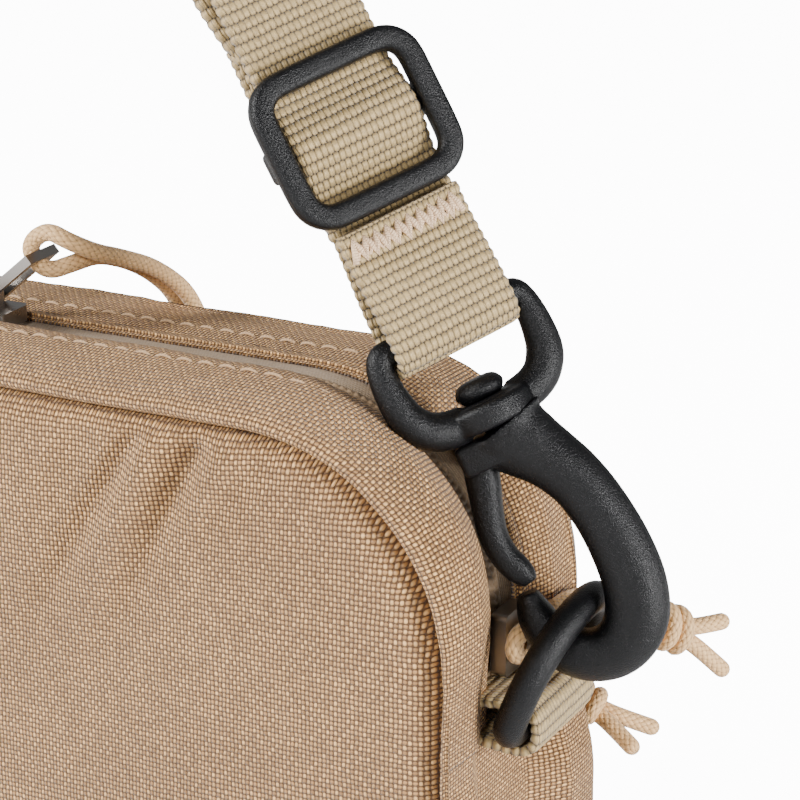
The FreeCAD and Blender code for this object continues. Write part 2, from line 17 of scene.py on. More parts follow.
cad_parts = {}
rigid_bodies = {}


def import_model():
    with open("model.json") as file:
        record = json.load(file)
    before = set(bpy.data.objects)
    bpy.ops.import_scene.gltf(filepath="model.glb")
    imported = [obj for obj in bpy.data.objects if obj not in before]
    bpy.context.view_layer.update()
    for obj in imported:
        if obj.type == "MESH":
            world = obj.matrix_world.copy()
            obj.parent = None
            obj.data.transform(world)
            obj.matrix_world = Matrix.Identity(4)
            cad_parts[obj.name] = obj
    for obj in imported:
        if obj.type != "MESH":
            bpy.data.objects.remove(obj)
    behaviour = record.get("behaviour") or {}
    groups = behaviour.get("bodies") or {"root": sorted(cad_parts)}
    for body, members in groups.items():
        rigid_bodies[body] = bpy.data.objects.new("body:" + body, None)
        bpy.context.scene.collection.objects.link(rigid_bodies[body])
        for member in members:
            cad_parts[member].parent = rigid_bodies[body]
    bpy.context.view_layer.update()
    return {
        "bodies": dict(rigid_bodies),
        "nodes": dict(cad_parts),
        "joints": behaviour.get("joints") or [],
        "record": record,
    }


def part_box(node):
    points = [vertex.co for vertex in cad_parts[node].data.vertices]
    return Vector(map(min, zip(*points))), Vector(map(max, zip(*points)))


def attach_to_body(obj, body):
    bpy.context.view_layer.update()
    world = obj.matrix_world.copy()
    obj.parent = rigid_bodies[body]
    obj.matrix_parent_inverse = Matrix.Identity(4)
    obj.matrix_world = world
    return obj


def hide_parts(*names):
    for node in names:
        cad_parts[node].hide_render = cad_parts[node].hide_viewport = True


LOG = logging.getLogger("neck_pouch")
MM = 0.001
UV_NAME = "cloth"
TWIST = 40.0  # degrees that the strap turns between its top and its ends

# The routes of the cords, in metres, as the design gives them.
STRAP_OUTER = [(0.073, 0, -0.1006), (0.0285, 0, -0.0236), (0.0114, 0, 0.006), (0, 0, 0.0102),
               (-0.0114, 0, 0.006), (-0.0290, -0.0002, -0.0238), (-0.0751, -0.0011, -0.1016)]
STRAP_INNER = [(0.0547, 0.0022, -0.0742), (0.0499, 0.0002, -0.0684), (0.0235, 0.0002, -0.0226),
               (0.0091, 0, 0.0032), (0, 0, 0.0065), (-0.0091, 0, 0.0032), (-0.0262, 0.0003, -0.0250),
               (-0.0729, 0.0011, -0.1029)]
TOP_PULL = [(0.0155, 0.0005, -0.1162), (0.0173, 0.009, -0.1164), (0.0193, 0.018, -0.1203),
            (0.0208, 0.0265, -0.1275), (0.0215, 0.0295, -0.1385)]
SIDE_PULL = [(0.0957, 0.0014, -0.164), (0.0959, 0.008, -0.1637), (0.0963, 0.016, -0.164),
             (0.0994, 0.022, -0.1662), (0.103, 0.0265, -0.169)]
BACK_PULL = [(0.0795, 0.0302, -0.183), (0.0833, 0.0308, -0.184), (0.0869, 0.031, -0.1856)]


class Side(Enum):
    """Which side of the pouch a piece is on."""

    RIGHT = "right"
    LEFT = "left"


# ---- shader helpers
GROUPS: dict[str, bpy.types.NodeTree] = {}
FINISHES: dict[str, bpy.types.Material] = {}


def node_group(name: str, outputs: Sequence[str], **inputs: float) -> tuple["Wires", bpy.types.Node, bpy.types.Node]:
    """Makes a shader node group that reads a place and some numbers and puts out numbers.

    Args:
        name: the group's name.
        outputs: the output sockets' names.
        inputs: the input numbers' names, with _ for a space, and their defaults.

    Returns:
        The group's wires, its input node and its output node.
    """
    tree = bpy.data.node_groups.new(name, "ShaderNodeTree")
    tree.interface.new_socket("Place", in_out="INPUT", socket_type="NodeSocketVector")
    for label, default in inputs.items():
        socket = tree.interface.new_socket(label.replace("_", " "), in_out="INPUT", socket_type="NodeSocketFloat")
        socket.default_value = default
    for label in outputs:
        tree.interface.new_socket(label, in_out="OUTPUT", socket_type="NodeSocketFloat")
    GROUPS[name] = tree
    return Wires(tree), tree.nodes.new("NodeGroupInput"), tree.nodes.new("NodeGroupOutput")


class Wires:
    """Short ways to add and join nodes in one tree."""

    def __init__(self, tree: bpy.types.NodeTree) -> None:
        """Keeps the tree."""
        self.tree = tree

    def put(self, kind: str, **settings: object) -> bpy.types.Node:
        """Adds a node and sets its properties."""
        node = self.tree.nodes.new(kind)
        for key, value in settings.items():
            setattr(node, key, value)
        return node

    def join(self, source: object, target: object) -> None:
        """Links an output to an input, or sets the input's value."""
        if isinstance(source, (int, float, tuple, list)):
            target.default_value = source
        else:
            self.tree.links.new(source, target)

    def math(self, operation: str, a: object, b: object = 0.0, c: object = 0.0) -> bpy.types.NodeSocket:
        """A Math node's result."""
        node = self.put("ShaderNodeMath", operation=operation)
        for socket, value in zip(node.inputs, (a, b, c)):
            self.join(value, socket)
        return node.outputs[0]

    def split(self, vector: object) -> list[bpy.types.NodeSocket]:
        """A vector's three numbers."""
        node = self.put("ShaderNodeSeparateXYZ")
        self.join(vector, node.inputs[0])
        return list(node.outputs)

    def hump(self, value: object, power: float) -> bpy.types.NodeSocket:
        """A round hump over each whole step of a value, steeper for a lower power."""
        wave = self.math("SINE", self.math("MULTIPLY", value, math.pi))
        return self.math("POWER", self.math("ABSOLUTE", wave), power)

    def mix(self, share: object, a: object, b: object) -> bpy.types.NodeSocket:
        """A colour between a and b."""
        node = self.put("ShaderNodeMix", data_type="RGBA")
        self.join(share, node.inputs[0])
        self.join(a, node.inputs[6])
        self.join(b, node.inputs[7])
        return node.outputs[2]

    def noise(self, vector: object, scale: float, detail: float = 2.0) -> bpy.types.NodeSocket:
        """A noise texture's value."""
        node = self.put("ShaderNodeTexNoise")
        self.join(vector, node.inputs["Vector"])
        node.inputs["Scale"].default_value = scale
        node.inputs["Detail"].default_value = detail
        return node.outputs[0]

    def ramp(self, value: object, low: float, high: float, to_low: float = 0.0,
             to_high: float = 1.0) -> bpy.types.NodeSocket:
        """Maps a value's range smoothly to another."""
        node = self.put("ShaderNodeMapRange", interpolation_type="SMOOTHSTEP")
        for socket, item in zip(node.inputs, (value, low, high, to_low, to_high)):
            self.join(item, socket)
        return node.outputs[0]


def over_under(w: Wires, across: object, along: object) -> tuple[object, object, object]:
    """Heights of two sets of yarns that pass over and under each other.

    Args:
        w: the tree to add to.
        across: place across the first set, in yarns.
        along: place along it, in yarns of the second set.

    Returns:
        The top height, the first set's height and the second's.
    """
    rise = w.math("SINE", w.math("MULTIPLY", w.math("ADD", along, w.math("FLOOR", across)), math.pi))
    dip = w.math("SINE", w.math("MULTIPLY", w.math("ADD", across, w.math("FLOOR", along)), math.pi))
    first = w.math("MULTIPLY", w.hump(across, 0.5), w.math("MULTIPLY_ADD", rise, 0.45, 0.55))
    second = w.math("MULTIPLY", w.hump(along, 0.5), w.math("MULTIPLY_ADD", dip, -0.45, 0.55))
    return w.math("MAXIMUM", first, second), first, second


def make_weave_group() -> None:
    """Plain weave from a place on the cloth in millimetres: height, warp mask and yarn-to-yarn shade."""
    w, given, out = node_group("plain_weave", ("Height", "Warp", "Shade"), Warp_pitch=0.4, Weft_pitch=0.6, Drift=0.1)
    drift = w.put("ShaderNodeTexNoise")
    w.join(given.outputs["Place"], drift.inputs["Vector"])
    drift.inputs["Scale"].default_value = 0.35
    drift.inputs["Detail"].default_value = 1.0
    parts, wander = w.split(given.outputs["Place"]), w.split(drift.outputs["Color"])
    lean = [w.math("MULTIPLY", w.math("SUBTRACT", wander[i], 0.5), given.outputs["Drift"]) for i in (0, 1)]
    across = w.math("DIVIDE", w.math("ADD", parts[0], lean[0]), given.outputs["Warp pitch"])
    along = w.math("DIVIDE", w.math("ADD", parts[1], lean[1]), given.outputs["Weft pitch"])
    top, first, second = over_under(w, across, along)
    cell = w.put("ShaderNodeCombineXYZ")
    w.join(w.math("FLOOR", across), cell.inputs[0])
    w.join(w.math("FLOOR", along), cell.inputs[1])
    random_shade = w.put("ShaderNodeTexWhiteNoise", noise_dimensions="2D")
    w.join(cell.outputs[0], random_shade.inputs[0])
    w.join(top, out.inputs["Height"])
    w.join(w.ramp(w.math("SUBTRACT", first, second), -0.15, 0.15), out.inputs["Warp"])
    w.join(random_shade.outputs[0], out.inputs["Shade"])


def make_rib_group() -> None:
    """Ribbed webbing from a place in millimetres: raised picks in rows across, with pin holes between."""
    w, given, out = node_group("webbing_rib", ("Height", "Hole", "Shade"), Rib_pitch=1.7, End_pitch=1.1)
    parts = w.split(given.outputs["Place"])
    wander = w.noise(given.outputs["Place"], 0.5, 1.0)
    along = w.math("DIVIDE", w.math("MULTIPLY_ADD", wander, 0.35, parts[1]), given.outputs["Rib pitch"])
    slant = w.math("MULTIPLY", w.math("FLOOR", along), 0.5)
    across = w.math("ADD", w.math("DIVIDE", parts[0], given.outputs["End pitch"]), slant)
    rib, end = w.hump(along, 0.7), w.hump(across, 0.6)
    valley = w.math("SUBTRACT", 1.0, rib)
    hole = w.math("MULTIPLY", w.ramp(valley, 0.35, 0.85), w.ramp(w.math("SUBTRACT", 1.0, end), 0.35, 0.9))
    fine = w.hump(w.math("MULTIPLY", across, 2.0), 1.0)
    height = w.math("MULTIPLY_ADD", end, 0.35, w.math("MULTIPLY", rib, 0.6))
    height = w.math("SUBTRACT", w.math("MULTIPLY_ADD", fine, 0.08, height), w.math("MULTIPLY", hole, 0.5))
    w.join(height, out.inputs["Height"])
    w.join(hole, out.inputs["Hole"])
    w.join(w.noise(given.outputs["Place"], 1.3, 3.0), out.inputs["Shade"])


def make_braid_group() -> None:
    """A braided sheath: yarns that cross in diamonds round a cord, from its own map."""
    w, given, out = node_group("braid", ("Height", "Shade"), Round=8.0, Pitch=1.2)
    parts = w.split(given.outputs["Place"])
    turn = w.math("MULTIPLY", parts[0], given.outputs["Round"])
    climb = w.math("DIVIDE", parts[1], given.outputs["Pitch"])
    top, first, second = over_under(w, w.math("ADD", turn, climb), w.math("SUBTRACT", turn, climb))
    w.join(top, out.inputs["Height"])
    w.join(w.ramp(w.math("SUBTRACT", first, second), -0.1, 0.1), out.inputs["Shade"])


def make_grain_group() -> None:
    """Spark-eroded mould grain: a fine pebbled height and a mask of its high spots, which the acetal lightens as
    painted sparkle and makes glossier.
    """
    w, given, out = node_group("mould_grain", ("Height", "Sparkle", "Soft"), Size=0.2)
    scaled = w.put("ShaderNodeVectorMath", operation="SCALE")
    w.join(given.outputs["Place"], scaled.inputs[0])
    w.join(w.math("DIVIDE", 1000.0, given.outputs["Size"]), scaled.inputs["Scale"])
    pebbles = w.put("ShaderNodeTexVoronoi", feature="SMOOTH_F1")
    w.join(scaled.outputs[0], pebbles.inputs["Vector"])
    pebbles.inputs["Scale"].default_value = 1.0
    fine = w.noise(scaled.outputs[0], 1.4, 3.0)
    height = w.math("ADD", w.math("MULTIPLY", pebbles.outputs["Distance"], -0.6), fine)
    w.join(height, out.inputs["Height"])
    w.join(w.ramp(fine, 0.56, 0.74), out.inputs["Sparkle"])
    w.join(w.noise(given.outputs["Place"], 90.0, 2.0), out.inputs["Soft"])


def shader(name: str) -> tuple[bpy.types.Material, Wires, bpy.types.Node]:
    """A new material with its wires and Principled shader."""
    material = bpy.data.materials.new(name)
    material.use_nodes = True
    return material, Wires(material.node_tree), material.node_tree.nodes["Principled BSDF"]


def bump(w: Wires, surface: bpy.types.Node, height: object, distance: float, strength: float = 1.0) -> None:
    """Feeds a height to the shader's normal."""
    node = w.put("ShaderNodeBump")
    node.inputs["Distance"].default_value = distance
    node.inputs["Strength"].default_value = strength
    w.join(height, node.inputs["Height"])
    w.join(node.outputs[0], surface.inputs["Normal"])


def set_values(surface: bpy.types.Node, **values: object) -> None:
    """Sets constants on the shader's own sockets, named with _ for a space."""
    for label, value in values.items():
        surface.inputs[label.replace("_", " ")].default_value = value


def uv_place(w: Wires) -> bpy.types.NodeSocket:
    """The piece's own map, in millimetres."""
    return w.put("ShaderNodeUVMap", uv_map=UV_NAME).outputs[0]


def use(w: Wires, group: str, **values: object) -> bpy.types.Node:
    """Places a shared group with its values."""
    node = w.put("ShaderNodeGroup", node_tree=GROUPS[group])
    for key, value in values.items():
        w.join(value, node.inputs[key.replace("_", " ")])
    return node


@dataclass(frozen=True)
class Cloth:
    """A plain-weave cloth."""

    name: str
    warp_colour: tuple[float, float, float]
    weft_colour: tuple[float, float, float]
    shadow: tuple[float, float, float]
    warp_pitch: float = 0.62
    weft_pitch: float = 0.8
    relief: float = 0.0005
    roughness: float = 0.5

    def make(self) -> bpy.types.Material:
        """Builds the material."""
        material, w, surface = shader(self.name)
        place = uv_place(w)
        weave = use(w, "plain_weave", Place=place, Warp_pitch=self.warp_pitch, Weft_pitch=self.weft_pitch, Drift=0.4)
        yarn = w.mix(weave.outputs["Warp"], (*self.weft_colour, 1), (*self.warp_colour, 1))
        shade = w.ramp(weave.outputs["Shade"], 0.0, 1.0, 0.0, 0.42)
        yarn = w.mix(shade, yarn, (*self.shadow, 1))
        broad = w.ramp(w.noise(place, 0.045, 3.0), 0.35, 0.7, 0.0, 0.16)
        yarn = w.mix(broad, yarn, (*self.shadow, 1))
        # Painted shade: the low spots between the yarns are darkened towards the shadow colour.
        deep = w.ramp(weave.outputs["Height"], 0.45, 0.92, 0.96, 0.0)
        w.join(w.mix(deep, yarn, (*self.shadow, 1)), surface.inputs["Base Color"])
        w.join(w.ramp(weave.outputs["Height"], 0.2, 0.9, 0.85, self.roughness), surface.inputs["Roughness"])
        set_values(surface, Sheen_Weight=0.12, Sheen_Roughness=0.4, Specular_IOR_Level=0.42)
        bump(w, surface, weave.outputs["Height"], self.relief)
        return material


@dataclass(frozen=True)
class Webbing:
    """Ribbed webbing or tape."""

    name: str
    colour: tuple[float, float, float]
    shadow: tuple[float, float, float]
    rib: float = 1.7
    end: float = 1.13
    relief: float = 0.00028
    roughness: float = 0.55

    def make(self) -> bpy.types.Material:
        """Builds the material."""
        material, w, surface = shader(self.name)
        place = uv_place(w)
        ribs = use(w, "webbing_rib", Place=place, Rib_pitch=self.rib, End_pitch=self.end)
        tone = w.mix(w.ramp(ribs.outputs["Shade"], 0.35, 0.7, 0.0, 0.35), (*self.colour, 1), (*self.shadow, 1))
        # Painted shade: the valleys between the ribs are darkened towards the shadow colour.
        low = w.ramp(ribs.outputs["Height"], 0.25, 0.9, 0.9, 0.0)
        tone = w.mix(low, tone, (*self.shadow, 1))
        # Painted shade: the pin holes are darkened to a deeper tone of the shadow colour.
        painted_hole_shade = tuple(c * 0.35 for c in self.shadow)
        w.join(w.mix(w.ramp(ribs.outputs["Hole"], 0.1, 0.7, 0.0, 0.85), tone, (*painted_hole_shade, 1)),
               surface.inputs["Base Color"])
        w.join(w.ramp(ribs.outputs["Height"], 0.1, 0.9, 0.85, self.roughness), surface.inputs["Roughness"])
        set_values(surface, Sheen_Weight=0.15, Specular_IOR_Level=0.45)
        bump(w, surface, ribs.outputs["Height"], self.relief)
        return material


@dataclass(frozen=True)
class Sheath:
    """A braided cord's sheath or a twisted thread."""

    name: str
    colour: tuple[float, float, float]
    shadow: tuple[float, float, float]
    around: float = 8.0
    pitch: float = 1.3
    relief: float = 0.0002

    def make(self) -> bpy.types.Material:
        """Builds the material."""
        material, w, surface = shader(self.name)
        place = uv_place(w)
        braid = use(w, "braid", Place=place, Round=self.around, Pitch=self.pitch)
        tone = w.mix(w.ramp(braid.outputs["Shade"], 0.0, 1.0, 0.0, 0.18), (*self.colour, 1), (*self.shadow, 1))
        # Painted shade: the grooves between the braid's yarns are darkened towards the shadow colour.
        low = w.ramp(braid.outputs["Height"], 0.15, 0.7, 0.8, 0.0)
        w.join(w.mix(low, tone, (*self.shadow, 1)), surface.inputs["Base Color"])
        set_values(surface, Roughness=0.6, Sheen_Weight=0.2)
        bump(w, surface, braid.outputs["Height"], self.relief)
        return material


@dataclass(frozen=True)
class Acetal:
    """Moulded plastic with a fine grain and painted sparkle: a lighter base colour on the grain's high spots."""

    name: str
    colour: tuple[float, float, float] = (0.0018, 0.0019, 0.0024)
    grain: float = 0.26
    relief: float = 0.00011
    roughness: float = 0.34

    def make(self) -> bpy.types.Material:
        """Builds the material."""
        material, w, surface = shader(self.name)
        place = w.put("ShaderNodeTexCoord").outputs["Object"]
        grain = use(w, "mould_grain", Place=place, Size=self.grain)
        # Painted sparkle: the base colour is lighter on the grain's high spots, standing in for glints of light.
        light = tuple(c * 2.2 + 0.0015 for c in self.colour)
        w.join(w.mix(w.ramp(grain.outputs["Sparkle"], 0, 1, 0.0, 0.5), (*self.colour, 1), (*light, 1)),
               surface.inputs["Base Color"])
        rough = w.math("MULTIPLY_ADD", grain.outputs["Soft"], 0.16, self.roughness - 0.08)
        w.join(w.math("SUBTRACT", rough, w.math("MULTIPLY", grain.outputs["Sparkle"], 0.12)),
               surface.inputs["Roughness"])
        set_values(surface, Specular_IOR_Level=0.24)
        bump(w, surface, grain.outputs["Height"], self.relief)
        return material


@dataclass(frozen=True)
class Metal:
    """Plated die-cast metal, lighter in soft random patches."""

    name: str
    colour: tuple[float, float, float]
    roughness: float = 0.3

    def make(self) -> bpy.types.Material:
        """Builds the material."""
        material, w, surface = shader(self.name)
        place = w.put("ShaderNodeTexCoord").outputs["Object"]
        grain = use(w, "mould_grain", Place=place, Size=0.35)
        light = tuple(min(c * 1.5, 1.0) for c in self.colour)
        w.join(w.mix(grain.outputs["Soft"], (*self.colour, 1), (*light, 1)), surface.inputs["Base Color"])
        w.join(w.math("MULTIPLY_ADD", grain.outputs["Soft"], 0.2, self.roughness - 0.1), surface.inputs["Roughness"])
        set_values(surface, Metallic=1.0)
        bump(w, surface, grain.outputs["Height"], 0.00001)
        return material


# ---- mesh helpers
Place = Callable[[float, float], Vector]


def finish_mesh(name: str, bm: bmesh.types.BMesh, material: bpy.types.Material,
                smooth: bool = True) -> bpy.types.Object:
    """Turns a bmesh into an object at the origin with one material."""
    mesh = bpy.data.meshes.new(name)
    bm.to_mesh(mesh)
    bm.free()
    if smooth:
        mesh.polygons.foreach_set("use_smooth", [True] * len(mesh.polygons))
    mesh.materials.append(material)
    piece = bpy.data.objects.new(name, mesh)
    bpy.context.scene.collection.objects.link(piece)
    return piece


def skin(rows: int, columns: int, place: Place, chart: Place, cap: bool = True) -> bmesh.types.BMesh:
    """A grid wrapped onto a surface.

    Args:
        rows: faces along the first direction.
        columns: faces along the second.
        place: gives the point for (along, round), each from 0 to 1.
        chart: gives the map in millimetres for the same.
        cap: closes the open ends.

    Returns:
        The bmesh, with its faces turned outwards.
    """
    bm = bmesh.new()
    layer = bm.loops.layers.uv.new(UV_NAME)
    bmesh.ops.create_grid(bm, x_segments=rows, y_segments=columns, size=0.5)
    for face in bm.faces:
        for loop in face.loops:
            spot = chart(loop.vert.co.x + 0.5, loop.vert.co.y + 0.5)
            loop[layer].uv = (spot[0], spot[1])
    for vert in bm.verts:
        vert.co = place(vert.co.x + 0.5, vert.co.y + 0.5)
    bmesh.ops.remove_doubles(bm, verts=bm.verts, dist=1e-7)
    rim = [edge for edge in bm.edges if edge.is_boundary]
    if cap and rim:
        bmesh.ops.holes_fill(bm, edges=rim, sides=0)
    bmesh.ops.recalc_face_normals(bm, faces=bm.faces)
    return bm


def turn_outwards(bm: bmesh.types.BMesh, outward: Callable[[Vector], Vector]) -> None:
    """Turns an open skin's faces to the side that outward gives for their centres."""
    bm.normal_update()
    if sum(face.normal.dot(outward(face.calc_center_median())) * face.calc_area() for face in bm.faces) < 0:
        bmesh.ops.reverse_faces(bm, faces=bm.faces)


def attach(piece: bpy.types.Object, body: str, slot: str, *nodes: str) -> bpy.types.Object:
    """Fixes a piece to its body, hides the nodes that it stands for, and reports it."""
    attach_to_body(piece, body)
    if nodes:
        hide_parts(*nodes)
    LOG.info("%s %d faces", piece.name, len(piece.data.polygons))
    return piece


def clamp(value: float) -> float:
    """The value kept between 0 and 1."""
    return min(max(value, 0.0), 1.0)


def ease(value: float) -> float:
    """The value kept between 0 and 1, with a soft start and end."""
    value = clamp(value)
    return value * value * (3 - 2 * value)


def merge(target: bmesh.types.BMesh, extra: bmesh.types.BMesh) -> None:
    """Adds one bmesh to another and frees it."""
    spare = bpy.data.meshes.new("spare")
    extra.to_mesh(spare)
    extra.free()
    target.from_mesh(spare)
    bpy.data.meshes.remove(spare)


def nurbs_line(route: Sequence[Sequence[float]], resolution: int = 24) -> list[Vector]:
    """Points along a smooth line that has the route's points as its control points."""
    curve = bpy.data.curves.new("route", "CURVE")
    curve.dimensions = "3D"
    spline = curve.splines.new("NURBS")
    spline.points.add(len(route) - 1)
    for point, spot in zip(spline.points, route):
        point.co = (*spot, 1.0)
    spline.order_u = 3
    spline.use_endpoint_u = True
    spline.resolution_u = resolution
    holder = bpy.data.objects.new("route", curve)
    bpy.context.scene.collection.objects.link(holder)
    mesh = bpy.data.meshes.new_from_object(holder)
    line = [v.co.copy() for v in mesh.vertices]
    bpy.data.objects.remove(holder)
    bpy.data.curves.remove(curve)
    bpy.data.meshes.remove(mesh)
    return line


def even(line: Sequence[Vector], step: float) -> tuple[list[Vector], float]:
    """The same line with points a step apart, and its length."""
    lengths = [0.0]
    for a, b in zip(line, line[1:]):
        lengths.append(lengths[-1] + (b - a).length)
    total = lengths[-1]
    count = max(int(round(total / step)), 2)
    result, index = [], 0
    for number in range(count + 1):
        want = total * number / count
        while index < len(line) - 2 and lengths[index + 1] < want:
            index += 1
        gap = lengths[index + 1] - lengths[index]
        share = (want - lengths[index]) / gap if gap > 0 else 0.0
        result.append(line[index].lerp(line[index + 1], clamp(share)))
    return result, total


def tangents(line: Sequence[Vector]) -> list[Vector]:
    """The direction at each point of a line."""
    last = len(line) - 1
    return [(line[min(i + 1, last)] - line[max(i - 1, 0)]).normalized() for i in range(last + 1)]


@dataclass
class Frame:
    """A place on the object with its own axes, in millimetres, mirrored for the left-hand side."""

    origin: Vector
    outward: Vector
    across: Vector
    up: Vector
    side: Side = Side.RIGHT

    def at(self, x: float, y: float, z: float) -> Vector:
        """The point (x, y, z) of this frame, in the object's own metres."""
        return self.mirrored(self.origin + (self.outward * x + self.across * y + self.up * z) * MM)

    def mirrored(self, vector: Vector) -> Vector:
        """A point or a direction as it is on this frame's side."""
        return Vector((-vector.x if self.side is Side.LEFT else vector.x, vector.y, vector.z))


def leaning_frame(spot: Sequence[float], tilt: float, turn: float, side: Side) -> Frame:
    """A frame that leans sideways and is turned about its own up axis, in degrees."""
    axes = Matrix.Rotation(math.radians(tilt), 3, "Y") @ Matrix.Rotation(math.radians(turn), 3, "Z")
    return Frame(Vector(spot), *(axis.copy() for axis in axes.col), side)


def tube(line: Sequence[Vector], radius: Callable[[float], float], sides: int = 12, flat: float = 1.0,
         guide: Vector | None = None) -> bmesh.types.BMesh:
    """A rod along a line.

    Args:
        line: the centre line.
        radius: the radius for a share of the length.
        sides: faces round it.
        flat: how deep the section is for its width.
        guide: the direction that the section's depth keeps to.

    Returns:
        The bmesh, with capped ends.
    """
    ways = tangents(line)
    side = guide or (Vector((0, 0, 1)) if abs(ways[0].z) < 0.9 else Vector((1, 0, 0)))
    frames, travelled = [], [0.0]
    for index, way in enumerate(ways):
        side = (side - way * side.dot(way)).normalized()
        frames.append((side.copy(), way.cross(side).normalized()))
        if guide is not None:
            side = guide
        if index:
            travelled.append(travelled[-1] + (line[index] - line[index - 1]).length)
    last = len(line) - 1

    def place(along: float, turn: float) -> Vector:
        """A point of the rod's surface."""
        index = int(round(along * last))
        deep, wide = frames[index]
        size = radius(along)
        angle = 2 * math.pi * turn
        return line[index] + deep * (math.cos(angle) * size * flat) + wide * (math.sin(angle) * size)

    def chart(along: float, turn: float) -> Vector:
        """Turns round and millimetres along."""
        return Vector((turn, travelled[int(round(along * last))] / MM, 0))

    return skin(last, sides, place, chart)


# ---- webbing
@dataclass
class Strip:
    """A length of webbing with thick woven edges."""

    width: float = 20.0
    wall: float = 1.5
    scallop: float = 0.16
    rib: float = 1.55
    columns: int = 44

    def build(self, line: Sequence[Vector], across: Sequence[Vector]) -> bmesh.types.BMesh:
        """Sweeps the flat section.

        Args:
            line: the middle of the webbing, points close together.
            across: its width direction at each point.
        """
        ways = tangents(line)
        travelled = [0.0]
        for a, b in zip(line, line[1:]):
            travelled.append(travelled[-1] + (b - a).length / MM)
        last = len(line) - 1
        half = self.width / 2

        def section(turn: float) -> tuple[float, float]:
            """A point of the section: millimetres across and up."""
            edge = 0.03
            thick = self.wall / 2
            turn %= 1.0
            if turn < 0.5 - edge:
                share = turn / (0.5 - edge)
                x = -half + 2 * half * share
                return x, thick * (1 - 0.10 * abs(2 * share - 1) ** 6)
            if turn < 0.5:
                angle = math.pi * (turn - 0.5 + edge) / edge
                return half + thick * 0.7 * math.sin(angle), thick * 0.9 * math.cos(angle)
            x, y = section(turn - 0.5)
            return -x, -y

        def place(along: float, turn: float) -> Vector:
            """A point of the webbing's surface."""
            index = int(round(along * last))
            side = across[index]
            normal = side.cross(ways[index]).normalized()
            x, y = section(turn)
            ripple = abs(math.sin(math.pi * travelled[index] / self.rib))
            edge = max(abs(x) - half + 1.2, 0.0) / 1.2
            x *= 1 - self.scallop * 0.12 * edge * (1 - ripple)
            y *= 1 + 0.10 * ripple
            return line[index] + side * (x * MM) + normal * (y * MM)

        def chart(along: float, turn: float) -> Vector:
            """Millimetres across and along."""
            x, _ = section(min(turn, 0.9999))
            return Vector((x + (0.4 if turn > 0.5 else 0.0), travelled[int(round(along * last))], 0))

        return skin(last, self.columns, place, chart)


# ---- finishes
def make_finishes() -> None:
    """Builds the shared groups and every finish."""
    for make_group in (make_weave_group, make_rib_group, make_braid_group, make_grain_group):
        make_group()
    recipes = (
        Cloth("oxford", (0.89, 0.52, 0.205), (0.53, 0.275, 0.095), (0.08, 0.034, 0.010)),
        Cloth("lining_cloth", (0.30, 0.21, 0.14), (0.26, 0.18, 0.12), (0.12, 0.08, 0.05), 0.25, 0.3, 0.00005),
        Webbing("strap_webbing", (0.44, 0.31, 0.135), (0.085, 0.052, 0.02), 1.55, 0.95, 0.0006),
        Webbing("zip_tape", (0.30, 0.20, 0.105), (0.12, 0.072, 0.035), 0.62, 0.55, 0.0001),
        Webbing("edge_binding", (0.33, 0.22, 0.13), (0.14, 0.09, 0.05), 0.7, 0.9, 0.0001),
        Sheath("paracord", (0.72, 0.44, 0.19), (0.24, 0.12, 0.04)),
        Sheath("sewing_thread", (0.46, 0.29, 0.15), (0.22, 0.13, 0.065), 1.0, 0.5, 0.00008),
        Sheath("tack_thread", (0.72, 0.50, 0.31), (0.26, 0.14, 0.07), 1.0, 0.4, 0.00008),
        Acetal("black_acetal"),
        Acetal("zip_nylon", (0.25, 0.17, 0.10), 0.12, 0.00001, 0.38),
        Metal("gunmetal_plate", (0.24, 0.225, 0.21)),
        Metal("steel_pin", (0.05, 0.05, 0.05), 0.35),
    )
    for recipe in recipes:
        FINISHES[recipe.name] = recipe.make()


# ---- strap
def twist_across(line: Sequence[Vector]) -> list[Vector]:
    """The strap's width direction, which turns between its top and its ends."""
    result = []
    for point, way in zip(line, tangents(line)):
        outward = Vector((0, 1, 0)).cross(way).normalized()
        if outward.x * point.x < 0:
            outward = -outward
        turn = math.radians(TWIST) * clamp((-point.z / MM - 12) / 30)
        across = Vector((0, 1, 0)) * math.cos(turn) + outward * math.sin(turn)
        result.append((across - way * across.dot(way)).normalized())
    for index in range(1, len(result)):
        if result[index].dot(result[index - 1]) < 0:
            result[index] = -result[index]
    return result


def zigzag(frame: Frame, x: float, z: float, width: float, height: float, turns: int, radius: float = 0.28,
           seed: int = 3) -> bmesh.types.BMesh:
    """A bar tack: thread laid back and forth across the webbing.

    Args:
        frame: where the webbing lies.
        x: how far out of the webbing's middle the thread lies.
        z: the tack's middle.
        width: its length across the webbing.
        height: its height along the webbing.
        turns: how many times the thread goes back and forth.
        radius: the thread's radius.
        seed: for the small differences from stitch to stitch.
    """
    chance = random.Random(seed)
    points = []
    for index in range(turns * 2 + 1):
        share = index / (turns * 2)
        up = height / 2 * (1 if index % 2 else -1) * chance.uniform(0.82, 1.05)
        points.append(frame.at(x - 0.25, -width / 2 + width * share, z + up))
        if index < turns * 2:
            points.append(frame.at(x + 0.22, -width / 2 + width * (share + 0.25 / turns), z))
    return tube(points, lambda share: radius * MM, 6)


